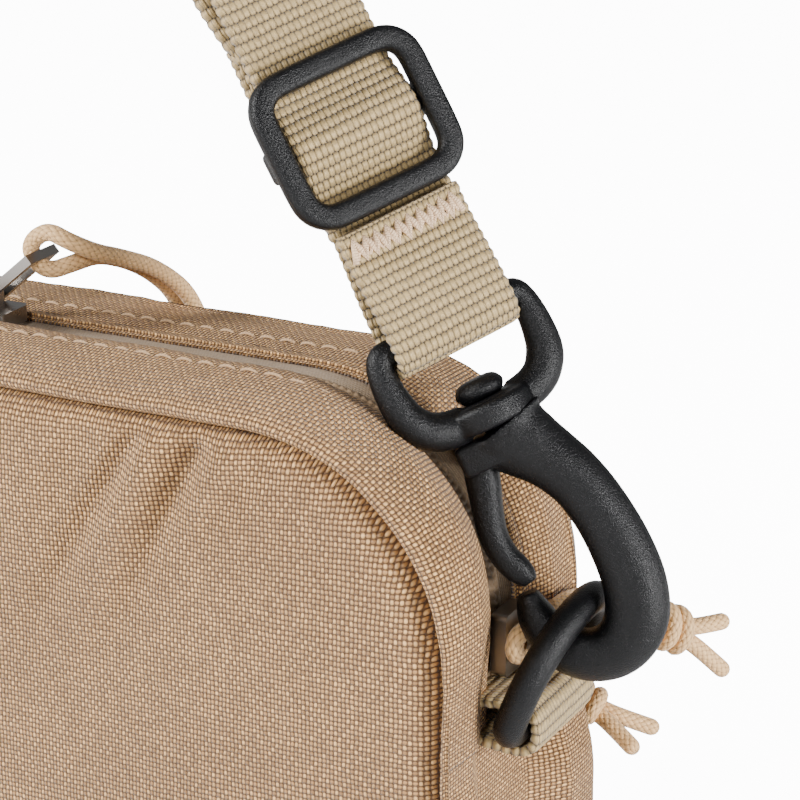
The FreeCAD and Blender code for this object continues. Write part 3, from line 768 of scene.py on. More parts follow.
@dataclass
class Strap:
    """The neck strap: two runs of one webbing over the top, end loops and sewn tacks."""

    tilt: float = -30.0
    turn: float = -TWIST
    bow: tuple[float, float, float] = (0.105, 0.0, -0.156)
    strip: Strip = field(default_factory=Strip)
    bar_up: float = 77.4
    bar_reach: float = 8.4
    bar_lift: float = 2.6

    def frame_of(self, side: Side) -> Frame:
        """The strap's frame at one end: x out of its face, y across it, z up it."""
        return leaning_frame(self.bow, self.tilt, self.turn, side)

    def run(self, name: str, route: Sequence[Sequence[float]], node: str) -> bpy.types.Object:
        """One run of the strap, as a flat cord."""
        line, length = even(nurbs_line(route), 0.00034)
        across = twist_across(line)
        if node == "strap_outer_run":
            self.bulge(line)
        mesh = self.strip.build(line, across)
        piece = finish_mesh(name, mesh, FINISHES["strap_webbing"])
        attach(piece, "pouch", "khaki_webbing", node)
        LOG.info("%s %.1f mm", name, length / MM)
        return piece

    def bulge(self, line: list[Vector]) -> None:
        """Lifts the webbing where it passes over the adjuster's middle bar."""
        frame = self.frame_of(Side.RIGHT)
        for index, point in enumerate(line):
            from_bar = (point - frame.origin).dot(frame.up) / MM - self.bar_up
            if abs(from_bar) < self.bar_reach and (point - frame.origin).length < 0.12:
                lift = self.bar_lift * math.cos(math.pi * from_bar / (2 * self.bar_reach)) ** 2
                line[index] = point + frame.outward * (lift * MM)

    def flat_piece(self, name: str, frame: Frame, profile: Sequence[tuple[float, float]], node: str, body: str,
                   wall: float = 1.5) -> bpy.types.Object:
        """Webbing bent along a profile of (x, z) in a frame."""
        line, _ = even(rounded([frame.at(x, 0, z) for x, z in profile]), 0.00034)
        across = [frame.mirrored(frame.across)] * len(line)
        piece = finish_mesh(name, Strip(wall=wall).build(line, across), FINISHES["strap_webbing"])
        return attach(piece, body, "khaki_webbing", node)


def rounded(points: Sequence[Vector], passes: int = 3) -> list[Vector]:
    """Cuts the corners of a line until it is smooth."""
    line = list(points)
    for _ in range(passes):
        result = [line[0]]
        for a, b in zip(line, line[1:]):
            result += [a.lerp(b, 0.25), a.lerp(b, 0.75)]
        line = result + [line[-1]]
    return line


# ---- pouch
@dataclass
class Pouch:
    """The gusseted pouch: panels, gussets, zips, bindings, stitching and side tabs."""

    half_wide: float = 90.0
    top: float = -129.0
    bottom: float = -259.0
    corner: float = 34.0
    half_deep: float = 23.0
    split: float = -176.0
    crown: float = 5.0
    back_crown: float = 1.6
    side_crown: float = 3.6
    seam_in: float = 0.8
    corner_push: float = 2.2
    side_push: float = 3.0
    low_push: float = 2.6
    stitch: float = 3.0
    stitch_gap: float = 0.7
    thread: float = 0.27
    coil_pitch: float = 1.25
    coil_wide: float = 3.5
    coil_step: float = 0.21
    coil_wall: float = 0.3
    back_zip_level: float = -183.0

    @property
    def level_top(self) -> float:
        """The height of the top corners' centres."""
        return self.top - self.corner

    @property
    def level_low(self) -> float:
        """The height of the bottom corners' centres."""
        return self.bottom + self.corner

    @property
    def flat(self) -> float:
        """Half of the straight top edge."""
        return self.half_wide - self.corner

    @property
    def quarter(self) -> float:
        """Length of one corner."""
        return self.corner * math.pi / 2

    @property
    def straight(self) -> float:
        """Length of one straight side."""
        return self.top - self.bottom - 2 * self.corner

    @property
    def half_round(self) -> float:
        """Half of the way round."""
        return 2 * self.flat + 2 * self.quarter + self.straight

    @property
    def split_way(self) -> float:
        """How far round from the top's middle the upper gusset ends."""
        return self.flat + self.quarter + (self.top - self.corner - self.split)

    def folded(self, way: float) -> float:
        """A way round, brought within half a turn either side of the top's middle."""
        return (way + self.half_round) % (2 * self.half_round) - self.half_round

    def rim(self, way: float, out: float) -> tuple[float, float, float, float]:
        """A point a way round the outline and its outward direction, as x, z, nx, nz in millimetres."""
        way = self.folded(way)
        sign, way = math.copysign(1.0, way), abs(way)
        below = way > self.half_round / 2
        if below:
            way = self.half_round - way
        if way <= self.flat:
            x, z, nx, nz = way, self.top, 0.0, 1.0
        elif way <= self.flat + self.quarter:
            turn = (way - self.flat) / self.corner
            nx, nz = math.sin(turn), math.cos(turn)
            x, z = self.flat + self.corner * nx, self.level_top + self.corner * nz
        else:
            x, z, nx, nz = self.half_wide, self.level_top - (way - self.flat - self.quarter), 1.0, 0.0
        if below:
            z, nz = self.top + self.bottom - z, -nz
        return sign * (x + nx * out), z + nz * out, sign * nx, nz

    def way_at(self, x: float, z: float) -> float:
        """The way round of the outline's point nearest to (x, z), on the right-hand half."""
        x = abs(x)
        if z <= self.level_low:
            return self.half_round - self.way_at(x, self.top + self.bottom - z)
        if x <= self.flat:
            return x
        if z >= self.level_top:
            return self.flat + self.corner * math.atan2(x - self.flat, z - self.level_top)
        return self.flat + self.quarter + self.level_top - z

    def from_middle(self, x: float, z: float) -> Vector:
        """The way from the box of the corners' centres to (x, z)."""
        return Vector((x - max(min(x, self.flat), -self.flat), z - max(min(z, self.level_top), self.level_low)))

    def spot(self, way: float, out: float, deep: float) -> Vector:
        """A point in metres, from the way round, how far out and how deep (y)."""
        x, z, _, _ = self.rim(way, out)
        return Vector((x, deep, z)) * MM

    def fade(self, way: float) -> float:
        """How full the gusset is: full over the top, less beside the side tabs and below."""
        way = abs(self.folded(way))
        return 1.0 - 0.7 * ease((way - self.flat - self.quarter * 0.6) / 30.0)

    def spread(self, way: float) -> float:
        """How far the filled corners and sides stand out past the pattern's outline, in millimetres."""
        way = abs(self.folded(way))
        corner = math.sin(math.pi * clamp((way - self.flat) / self.quarter)) ** 1.5
        side = clamp((way - self.flat - self.quarter * 0.5) / (self.quarter * 0.5))
        below = ease((self.half_round - self.flat * 0.3 - way) / (self.quarter + self.flat * 0.7))
        low = ease((way - self.split_way - 3.0) / 16.0) * below
        upper = 1 if way < self.half_round / 2 else 0.5
        return self.corner_push * corner * upper + self.side_push * side * below + self.low_push * low

    def ride(self, piece: bpy.types.Object, slot: str, *nodes: str) -> bpy.types.Object:
        """Fixes a piece to the pouch."""
        return attach(piece, "pouch", slot, *nodes)

    def wall(self, piece: bpy.types.Object, thickness: float, offset: float = -1.0) -> bpy.types.Object:
        """Gives a cloth its thickness."""
        solid = piece.modifiers.new("cloth_thickness", "SOLIDIFY")
        solid.thickness = thickness * MM
        solid.offset = offset
        return piece

    def panel_height(self, x: float, z: float, edge: float) -> float:
        """How far a panel stands out of its plane at (x, z), edge millimetres in from its seam."""
        roll = 1 - math.exp(-edge / 1.2)
        swell = 1 - math.exp(-edge / 26.0)
        height = -3.2 + 4.0 * roll + 1.6 * swell
        soft = noise.noise(Vector((x * 0.018, z * 0.022, 3.1))) * 1.3
        height += soft * swell
        drop = self.top - z
        for centre, lean, wide, deep, reach in self.folds():
            line = centre + lean * drop
            across = (x - line) / wide
            along = math.exp(-((drop - 8.0) / reach) ** 2)
            height -= deep * math.exp(-across * across) * along * min(edge / 4.0, 1.0)
        pucker = noise.noise(Vector((x * 0.16, z * 0.16, 9.0)))
        height += 0.32 * pucker * math.exp(-edge / 7.0) * roll
        return height

    def folds(self) -> Sequence[tuple[float, float, float, float, float]]:
        """The soft folds below the top seam: place, lean, width, depth and reach."""
        return ((54.0, -0.46, 2.8, 2.5, 19.0), (47.0, -0.46, 3.0, -1.3, 18.0), (44.5, -0.6, 2.4, 1.8, 22.0),
                (60.0, -0.5, 2.6, -0.6, 12.0), (34.0, -0.3, 4.5, 0.8, 20.0), (-38.0, 0.4, 3.0, 1.8, 14.0),
                (-30.0, 0.4, 3.2, -0.7, 14.0), (-58.0, 0.6, 2.8, 1.1, 14.0), (68.0, -0.9, 3.0, 0.6, 16.0))

    def panel(self, name: str, front: bool, node: str) -> bpy.types.Object:
        """A panel: crowned cloth whose edge turns in to the seam."""
        sign = -1.0 if front else 1.0
        rows, columns = 190, 170
        inner = self.corner - self.seam_in
        wide, high, low = self.half_wide - self.seam_in, self.top - self.seam_in, self.bottom + self.seam_in
        arc = inner * math.pi / 2
        total = 2 * arc + (high - low - 2 * inner)

        def height_of(share: float) -> tuple[float, float]:
            """The z and the half width at a share of the way down the panel's side."""
            run = share * total
            turn = min(run, total - run) / inner
            if turn >= math.pi / 2:
                return high - inner - (run - arc), wide
            drop = inner * (1 - math.cos(turn))
            return (high - drop if run < arc else low + drop), wide - inner * (1 - math.sin(turn))

        def flat_spot(a: float, b: float) -> tuple[float, float, float]:
            """x, z and the distance from the seam."""
            z, half = height_of(b)
            x = half * (2 * a - 1)
            from_x, from_z = wide - abs(x), min(high - z, z - low)
            if from_x < inner and from_z < inner:
                edge = inner - math.hypot(inner - from_x, inner - from_z)
            else:
                edge = min(from_x, from_z)
            return x, z, max(edge, 0.0)

        def place(a: float, b: float) -> Vector:
            """A point of the cloth."""
            x, z, edge = flat_spot(a, b)
            height = self.panel_height(x * -sign, z, edge)
            push = self.spread(self.way_at(x, z)) * math.exp(-edge / 12.0)
            away = self.from_middle(x, z)
            if away.length > 0:
                away.normalize()
                x, z = x + away.x * push, z + away.y * push
            if not front and abs(x) < 84:
                near = math.exp(-(((z - self.back_zip_level) / 10.0) ** 4)) * min((84 - abs(x)) / 10.0, 1.0)
                height += (0.7 - height) * near
            return Vector((x, sign * (self.half_deep + height), z)) * MM

        def chart(a: float, b: float) -> Vector:
            """Millimetres on the cloth."""
            x, z, _ = flat_spot(a, b)
            return Vector((x, z, 0))

        bm = skin(rows, columns, place, chart, cap=False)
        turn_outwards(bm, lambda centre: Vector((0, sign, 0)))
        piece = finish_mesh(name, bm, FINISHES["oxford"])
        self.wall(piece, 1.2)
        return self.ride(piece, "tan_oxford", node)

    def hoop(self, name: str, profile: Sequence[tuple[float, float]], start: float, end: float, finish: str,
             step: float = 0.8, swell: bool = True, wall: float = 0.9, ripple: float = 0.18) -> bpy.types.Object:
        """Cloth swept round the outline.

        Args:
            name: the piece's name.
            profile: (out, deep) points across the cloth.
            start: where on the way round it begins.
            end: where it ends.
            finish: the finish's name.
            step: millimetres between rows.
            swell: follows the gusset's fullness.
            wall: the cloth's thickness.
            ripple: how uneven it is, in millimetres.
        """
        line, _ = even(rounded([Vector((a, b, 0)) for a, b in profile]), 0.7)
        across = [0.0]
        for a, b in zip(line, line[1:]):
            across.append(across[-1] + (b - a).length)
        rows = int((end - start) / step)
        last = len(line) - 1

        def place(a: float, b: float) -> Vector:
            """A point of the cloth."""
            way = start + (end - start) * a
            index = int(round(b * last))
            out, deep = line[index].x, line[index].y
            share = min(b, 1 - b) * 4
            if swell:
                clear = clamp((abs(deep) - 8.5) / 6.0)
                out = out * (self.fade(way) if out > 0 else 1.0) + self.spread(way) * (0.25 + 0.75 * clear)
            rough = noise.noise(Vector((way * 0.07, deep * 0.12, 5.0))) * 1.6
            rough += noise.noise(Vector((way * 0.32, deep * 0.22, 1.0))) * 0.8
            out += ripple * rough * min(share, 1.0)
            return self.spot(way, out, deep)

        def chart(a: float, b: float) -> Vector:
            """Millimetres on the cloth."""
            return Vector((start + (end - start) * a, across[int(round(b * last))], 0))

        bm = skin(rows, last, place, chart, cap=False)
        turn_outwards(bm, lambda centre: self.from_middle(centre.x / MM, centre.z / MM).to_3d().xzy)
        return self.wall(finish_mesh(name, bm, FINISHES[finish]), wall)

    def gusset_profile(self, front: bool) -> list[tuple[float, float]]:
        """(out, deep) of an upper gusset from its panel seam to the fold beside the zip.

        Args:
            front: the front one stands high over the zip; the back one lies lower.
        """
        s, c = (-1.0, self.crown) if front else (1.0, self.back_crown)
        return [(-self.seam_in - 0.9, s * 19.0), (-self.seam_in - 0.1, s * 20.6), (0.1, s * 23.0), (1.4, s * 23.8),
                (c * 0.6, s * 22.4), (c * 0.85, s * 19.0), (c, s * 14.5), (c * 1.06, s * 10.8),
                (c * 0.94, s * 7.6), (c * 0.7, s * 5.7), (1.2, s * 5.0), (0.8, s * 6.4), (0.6, s * 8.8)]

    def gussets(self) -> None:
        """The two upper gussets, the lower gusset and their finish."""
        for label in ("front", "back"):
            piece = self.hoop(f"gusset_{label}", self.gusset_profile(label == "front"), -self.split_way - 0.5,
                              self.split_way + 0.5, "oxford")
            self.ride(piece, "tan_oxford", f"gusset_{label}_band")
        c = self.side_crown
        inset = -self.seam_in
        profile = [(inset - 0.9, -19.0), (inset - 0.1, -20.6), (0.1, -23.0), (1.4, -23.8), (c * 0.7, -22.0),
                   (c * 0.9, -18.5),
                   (c * 0.7, -9.0), (c * 0.5, 0.0), (c * 0.85, 9.0), (c * 1.7, 16.5), (c * 1.85, 21.8), (c * 1.1, 25.0),
                   (-0.2, 23.8), (inset - 0.2, 22.0), (inset - 0.9, 20.2)]
        piece = self.hoop("gusset_lower", profile, self.split_way, 2 * self.half_round - self.split_way, "oxford")
        self.ride(piece, "tan_oxford", "lower_gusset")

    def zip(self) -> None:
        """The main zip: two tapes, its coil and the ends sewn under the lower gusset."""
        for label, sign in (("front", -1.0), ("back", 1.0)):
            piece = self.hoop(f"zip_tape_{label}", [(0.3, sign * 9.0), (0.4, sign * 5.0), (0.45, sign * 1.1)],
                              -self.split_way, self.split_way, "zip_tape", swell=False, wall=0.6, ripple=0.04)
            self.ride(piece, "zip_tape", f"zipper_tape_{label}")
        piece = self.coil("zip_coil", 1.0)
        self.ride(piece, "zip_coil", "zipper_coil")

    def coil_lift(self, run: float, across: float) -> float:
        """The height of a coil's back: a low ridge of slanted loops each side of the middle."""
        loop = abs(math.sin(math.pi * (run + abs(across) * 0.45) / self.coil_pitch)) ** 0.6
        mound = math.sqrt(max(1 - (across / 1.76) ** 2, 0.0))
        return mound * (0.35 + 0.45 * loop) - 0.25 * math.exp(-(across / 0.28) ** 2)

    def coil(self, name: str, out: float) -> bpy.types.Object:
        """The coil's backs, round the outline."""
        start, end = -self.split_way, self.split_way

        def place(a: float, b: float) -> Vector:
            """A point of the coil's back."""
            way, deep = start + (end - start) * a, self.coil_wide * (b - 0.5)
            return self.spot(way, out - 0.6 + self.coil_lift(way, deep), deep)

        def chart(a: float, b: float) -> Vector:
            """Millimetres on the coil."""
            return Vector((start + (end - start) * a, self.coil_wide * b, 0))

        bm = skin(int((end - start) / self.coil_step), 12, place, chart, cap=False)
        return self.wall(finish_mesh(name, bm, FINISHES["zip_nylon"]), self.coil_wall)

    def stitches(self, name: str, spot: Callable[[float, float], Vector], start: float, end: float) -> None:
        """A row of lockstitches.

        Args:
            name: the piece's name.
            spot: gives the point for a way along and a height over the cloth.
            start: where the row begins.
            end: where it ends.
        """
        bm = bmesh.new()
        bm.loops.layers.uv.new(UV_NAME)
        count = int((end - start) / (self.stitch + self.stitch_gap))
        pitch = (end - start) / count
        for number in range(count):
            a = start + number * pitch + self.stitch_gap / 2
            b = a + pitch - self.stitch_gap
            points = [spot(a + (b - a) * share, -0.35 + 0.62 * math.sin(math.pi * share) ** 0.5)
                      for share in (0.0, 0.12, 0.3, 0.5, 0.7, 0.88, 1.0)]
            merge(bm, tube(points, lambda share: self.thread * MM * (0.75 + 0.25 * math.sin(math.pi * share)), 6))
        self.ride(finish_mesh(name, bm, FINISHES["sewing_thread"]), "tan_oxford")

    def top_stitching(self) -> None:
        """The row beside each side of the zip."""
        for label, sign in (("front", -1.0), ("back", 1.0)):
            outside = [p.x for p in rounded([Vector((a, b, 0)) for a, b in self.gusset_profile(sign < 0)])
                       if abs(abs(p.y) - 12.4) < 0.5 and p.x > 0.9]
            out = sum(outside) / len(outside)
            self.stitches(f"top_stitch_{label}",
                          lambda way, lift, s=sign, o=out: self.spot(
                              way, o * self.fade(way) + self.spread(way) * 0.49 + lift, s * 12.4),
                          -self.split_way + 2, self.split_way - 2)

    def inside(self) -> None:
        """Bindings over the seams inside and the slip pocket."""
        for label, sign in (("front", -1.0), ("back", 1.0)):
            piece = self.hoop(f"seam_binding_{label}", [(-1.6, sign * 20.0), (-2.4, sign * 18.6), (-2.4, sign * 17.0)],
                              -self.half_round, self.half_round, "edge_binding", step=2.0, swell=False, wall=0.6,
                              ripple=0.05)
            self.ride(piece, "binding_tape", f"binding_{label}")
        low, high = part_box("slip_pocket")

        def place(a: float, b: float) -> Vector:
            """A point of the pocket's cloth."""
            x, z = low[0] + (high[0] - low[0]) * a, low[2] + (high[2] - low[2]) * b
            slack = noise.noise(Vector((x * 20, z * 20, 2.0))) * 0.0008
            return Vector((x, (low[1] + high[1]) / 2 + slack, z))

        bm = skin(60, 40, place, lambda a, b: place(a, b).xzy / MM, cap=False)
        piece = self.wall(finish_mesh("slip_pocket_cloth", bm, FINISHES["lining_cloth"]), 0.6, 0.0)
        self.ride(piece, "lining", "slip_pocket")

    def back_zip(self) -> None:
        """The back pocket's zip: tape let into the panel, coil and a row of stitches round it."""
        low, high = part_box("back_zip_tape")
        long, tall = high[0] - low[0], high[2] - low[2]
        level = (self.half_deep + 1.0) * MM

        def flat(a: float, b: float) -> Vector:
            """A point of the tape."""
            return Vector((low[0] + long * a, level, low[2] + tall * b))

        bm = skin(140, 14, flat, lambda a, b: Vector((tall * b, long * a, 0)) / MM, cap=False)
        piece = self.wall(finish_mesh("back_pocket_tape", bm, FINISHES["zip_tape"]), 0.7, 0.0)
        self.ride(piece, "zip_tape", "back_zip_tape")
        low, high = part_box("back_zip_coil")
        long, middle = (high[0] - low[0]) / MM, (high[2] + low[2]) / 2

        def ridge(a: float, b: float) -> Vector:
            """A point of the coil's back."""
            run, across = long * a, self.coil_wide * (b - 0.5)
            lift = 0.2 + self.coil_lift(run, across)
            return Vector((low[0] + run * MM, level + lift * MM, middle + across * MM))

        bm = skin(int(long / self.coil_step), 12, ridge, lambda a, b: Vector((long * a, self.coil_wide * b, 0)),
                  cap=False)
        piece = self.wall(finish_mesh("back_pocket_coil", bm, FINISHES["zip_nylon"]), self.coil_wall)
        self.ride(piece, "zip_coil", "back_zip_coil")
        for label, offset in (("above", 8.2), ("below", -8.2)):
            self.stitches(f"back_stitch_{label}",
                          lambda way, lift, off=offset: Vector((way, self.half_deep + 1.15 + lift,
                                                                 self.back_zip_level + off)) * MM,
                          -70, 70)


# ---- tabs, loops and tacks
@dataclass
class Webwork:
    """The webbing pieces that hold the hardware: side tabs, end loops, the adjuster's wrap and the tacks."""

    strap: Strap = field(default_factory=Strap)
    ring_base: tuple[float, float, float] = (0.09835, 0.0, -0.1738)

    def tabs(self) -> None:
        """The side tabs round the rings' bars."""
        for side in Side:
            frame = Frame(Vector(self.ring_base), Vector((1, 0, 0)), Vector((0, 1, 0)), Vector((0, 0, 1)), side)
            profile = [(-9.4, 2.6), (-5.0, 3.3), (-1.0, 3.55), (2.0, 3.5), (3.5, 1.9), (3.5, -1.9), (2.0, -3.5),
                       (-1.0, -3.55), (-5.0, -3.3), (-9.4, -2.6)]
            self.strap.flat_piece(f"side_tab_{side.value}_webbing", frame, profile, f"side_tab_{side.value}", "pouch")

    def loops(self) -> None:
        """The webbing round each eye."""
        frame = self.strap.frame_of(Side.RIGHT)
        profile = [(0.0, 65.2), (-0.1, 63.0), (-1.0, 59.0), (-2.6, 53.0), (-3.15, 46.0), (-2.6, 43.6), (0.0, 42.0),
                   (2.6, 43.6), (3.15, 46.0), (2.7, 53.0), (1.95, 58.0), (1.75, 61.5), (2.3, 64.2)]
        self.strap.flat_piece("end_loop_right", frame, profile, "strap_end_loop", "pouch", wall=1.45)
        frame = self.strap.frame_of(Side.LEFT)
        profile = [(-1.7, 61.8), (-2.3, 56.0), (-3.15, 46.0), (-2.6, 43.6), (0.0, 42.0), (2.6, 43.6), (3.15, 46.0),
                   (2.3, 56.0), (1.7, 61.8)]
        self.strap.flat_piece("end_loop_left", frame, profile, "strap_fold_left", "pouch", wall=1.45)

    def wrap(self) -> None:
        """The webbing sewn round the adjuster's middle bar."""
        frame = self.strap.frame_of(Side.RIGHT)
        frame.origin = frame.origin + frame.up * (self.strap.bar_up * MM)
        profile = [(-3.4, 18.4), (-3.0, 15.0), (-2.0, 7.0), (-1.95, 0.0), (-2.0, -2.9), (-6.5, -3.4), (-6.6, 0.0),
                   (-6.2, 7.0), (-5.0, 15.0), (-4.95, 18.2)]
        self.strap.flat_piece("adjuster_wrap", frame, profile, "triglide_wrap", "triglide", wall=1.3)

    def tacks(self) -> None:
        """Bar tacks that close the right-hand loop, the left-hand folds and the adjuster's wrap."""
        right, left = self.strap.frame_of(Side.RIGHT), self.strap.frame_of(Side.LEFT)
        places = (
            ("tack_right_front", right, 2.75, 61.4, "pouch"), ("tack_right_back", right, -1.1, 63.3, "pouch"),
            ("tack_left_front", left, 2.6, 60.0, "pouch"), ("tack_left_back", left, -2.6, 60.0, "pouch"),
            ("tack_wrap_back", right, -6.0, 93.0, "triglide"),
        )
        for number, (name, frame, x, z, body) in enumerate(places):
            bm = zigzag(frame, x, z, 18.4, 3.4, 10, 0.52, number)
            merge(bm, zigzag(frame, x - 0.12 * (1 if x > 0 else -1), z - 0.3, 17.4, 2.2, 8, 0.36, number + 9))
            attach(finish_mesh(name, bm, FINISHES["tack_thread"]), body, "khaki_webbing")


# ---- zip pulls
@dataclass
class Pull:
    """A doubled paracord on a slider, held by a wrapped knot, with both ends left as short tails."""

    name: str
    route: Sequence[Sequence[float]]
    apart: tuple[float, float, float]
    turn_round: Sequence[Sequence[float]]
    body: str
    skip: int = 0
    gap: float = 1.55
    thickness: float = 2.8
    knot_length: float = 10.0

    def centre_line(self) -> tuple[list[tuple[float, float, float]], Vector, Vector]:
        """The whole cord's route, the knot's start and its direction."""
        apart = Vector(self.apart)
        points = [Vector(p) for p in self.route]
        end, way = points[-1], (points[-1] - points[-2]).normalized()
        start = end + way * (0.05 + abs(apart.dot(way)) * self.gap) * MM
        strands = []
        for sign in (-1.0, 1.0):
            strand = [p + apart * (self.gap * sign * MM) for p in points[self.skip:]]
            strand += [start + (way * 3.0 + apart * (0.9 * sign)) * MM, start + (way * 8.6 + apart * (0.9 * sign)) * MM,
                       start + (way * 12.5 + apart * (2.3 * sign)) * MM,
                       start + (way * 17.6 + apart * (4.7 * sign)) * MM]
            strands.append(strand)
        route = list(reversed(strands[0])) + [Vector(p) for p in self.turn_round] + strands[1]
        return [tuple(p) for p in route], start, way

    def radius_at(self, share: float, length: float) -> float:
        """The cord's radius: full, closing to a melted tip at both ends."""
        from_end = min(share, 1 - share) * length / MM
        full = self.thickness / 2
        if from_end >= full:
            return full * MM
        return full * math.sqrt(max(1 - (1 - from_end / full) ** 2, 0.0004)) * MM

    def build(self) -> None:
        """The cord and its knot."""
        route, start, way = self.centre_line()
        line, length = even(nurbs_line(route), 0.0005)
        fine = [line[0].lerp(line[1], s) for s in (0.0, 0.1, 0.3, 0.6)] + line[1:-1]
        fine += [line[-2].lerp(line[-1], s) for s in (0.4, 0.7, 0.9, 1.0)]
        total = sum((b - a).length for a, b in zip(fine, fine[1:]))
        travelled = [0.0]
        for a, b in zip(fine, fine[1:]):
            travelled.append(travelled[-1] + (b - a).length / total)
        last = len(fine) - 1
        bm = tube(fine, lambda share: self.radius_at(travelled[int(round(share * last))], length), 16)
        cord = finish_mesh(f"paracord_{self.name}", bm, FINISHES["paracord"])
        knot = finish_mesh(f"knot_wrap_{self.name}", self.knot(start, way), FINISHES["paracord"])
        for piece, node in ((cord, f"pull_cord_{self.name}"), (knot, f"pull_knot_{self.name}")):
            attach(piece, self.body, "tan_paracord", node)
        [tuple(p) for p in fine]
        LOG.info("%s %.1f mm", cord.name, length / MM)

    def knot(self, start: Vector, way: Vector) -> bmesh.types.BMesh:
        """The turns of cord wrapped round both strands."""
        apart = Vector(self.apart)
        apart = (apart - way * apart.dot(way)).normalized()
        deep = way.cross(apart)
        points = []
        turns, steps = 2.7, 66
        for index in range(steps + 1):
            share = index / steps
            angle = 2 * math.pi * turns * share + 0.6
            tuck = min(share, 1 - share) * 9
            radius = 2.55 * min(0.45 + 0.55 * tuck, 1.0)
            along = 1.5 + (self.knot_length - 3.2) * share + 0.5 * math.sin(angle)
            points.append(start + (way * along + apart * (math.cos(angle) * (radius + 0.25))
                                   + deep * (math.sin(angle) * (radius - 0.45))) * MM)
        return tube(points, lambda share: 1.28 * MM, 14)


def pulls() -> None:
    """The three pulls."""
    Pull("top", TOP_PULL, (1, 0, 0),
         ((0.0146, 0.0035, -0.1166), (0.0112, 0, -0.1179), (0.0078, 0, -0.114), (0.0118, 0, -0.1106),
          (0.0156, 0.0003, -0.1122), (0.018, 0.0045, -0.1148)), "puller_top", 1).build()
    Pull("side", SIDE_PULL, (0, 0, 1),
         ((0.0956, 0.0025, -0.1656), (0.0952, -0.0034, -0.1659), (0.0952, -0.0034, -0.1621),
          (0.0956, 0.0025, -0.1624)), "slider_side", 1).build()
    Pull("back", BACK_PULL, (0, 1, 0),
         ((0.0797, 0.0276, -0.1832), (0.0747, 0.0269, -0.183), (0.0747, 0.0319, -0.183),
          (0.0797, 0.0324, -0.1832)), "puller_back", 1).build()


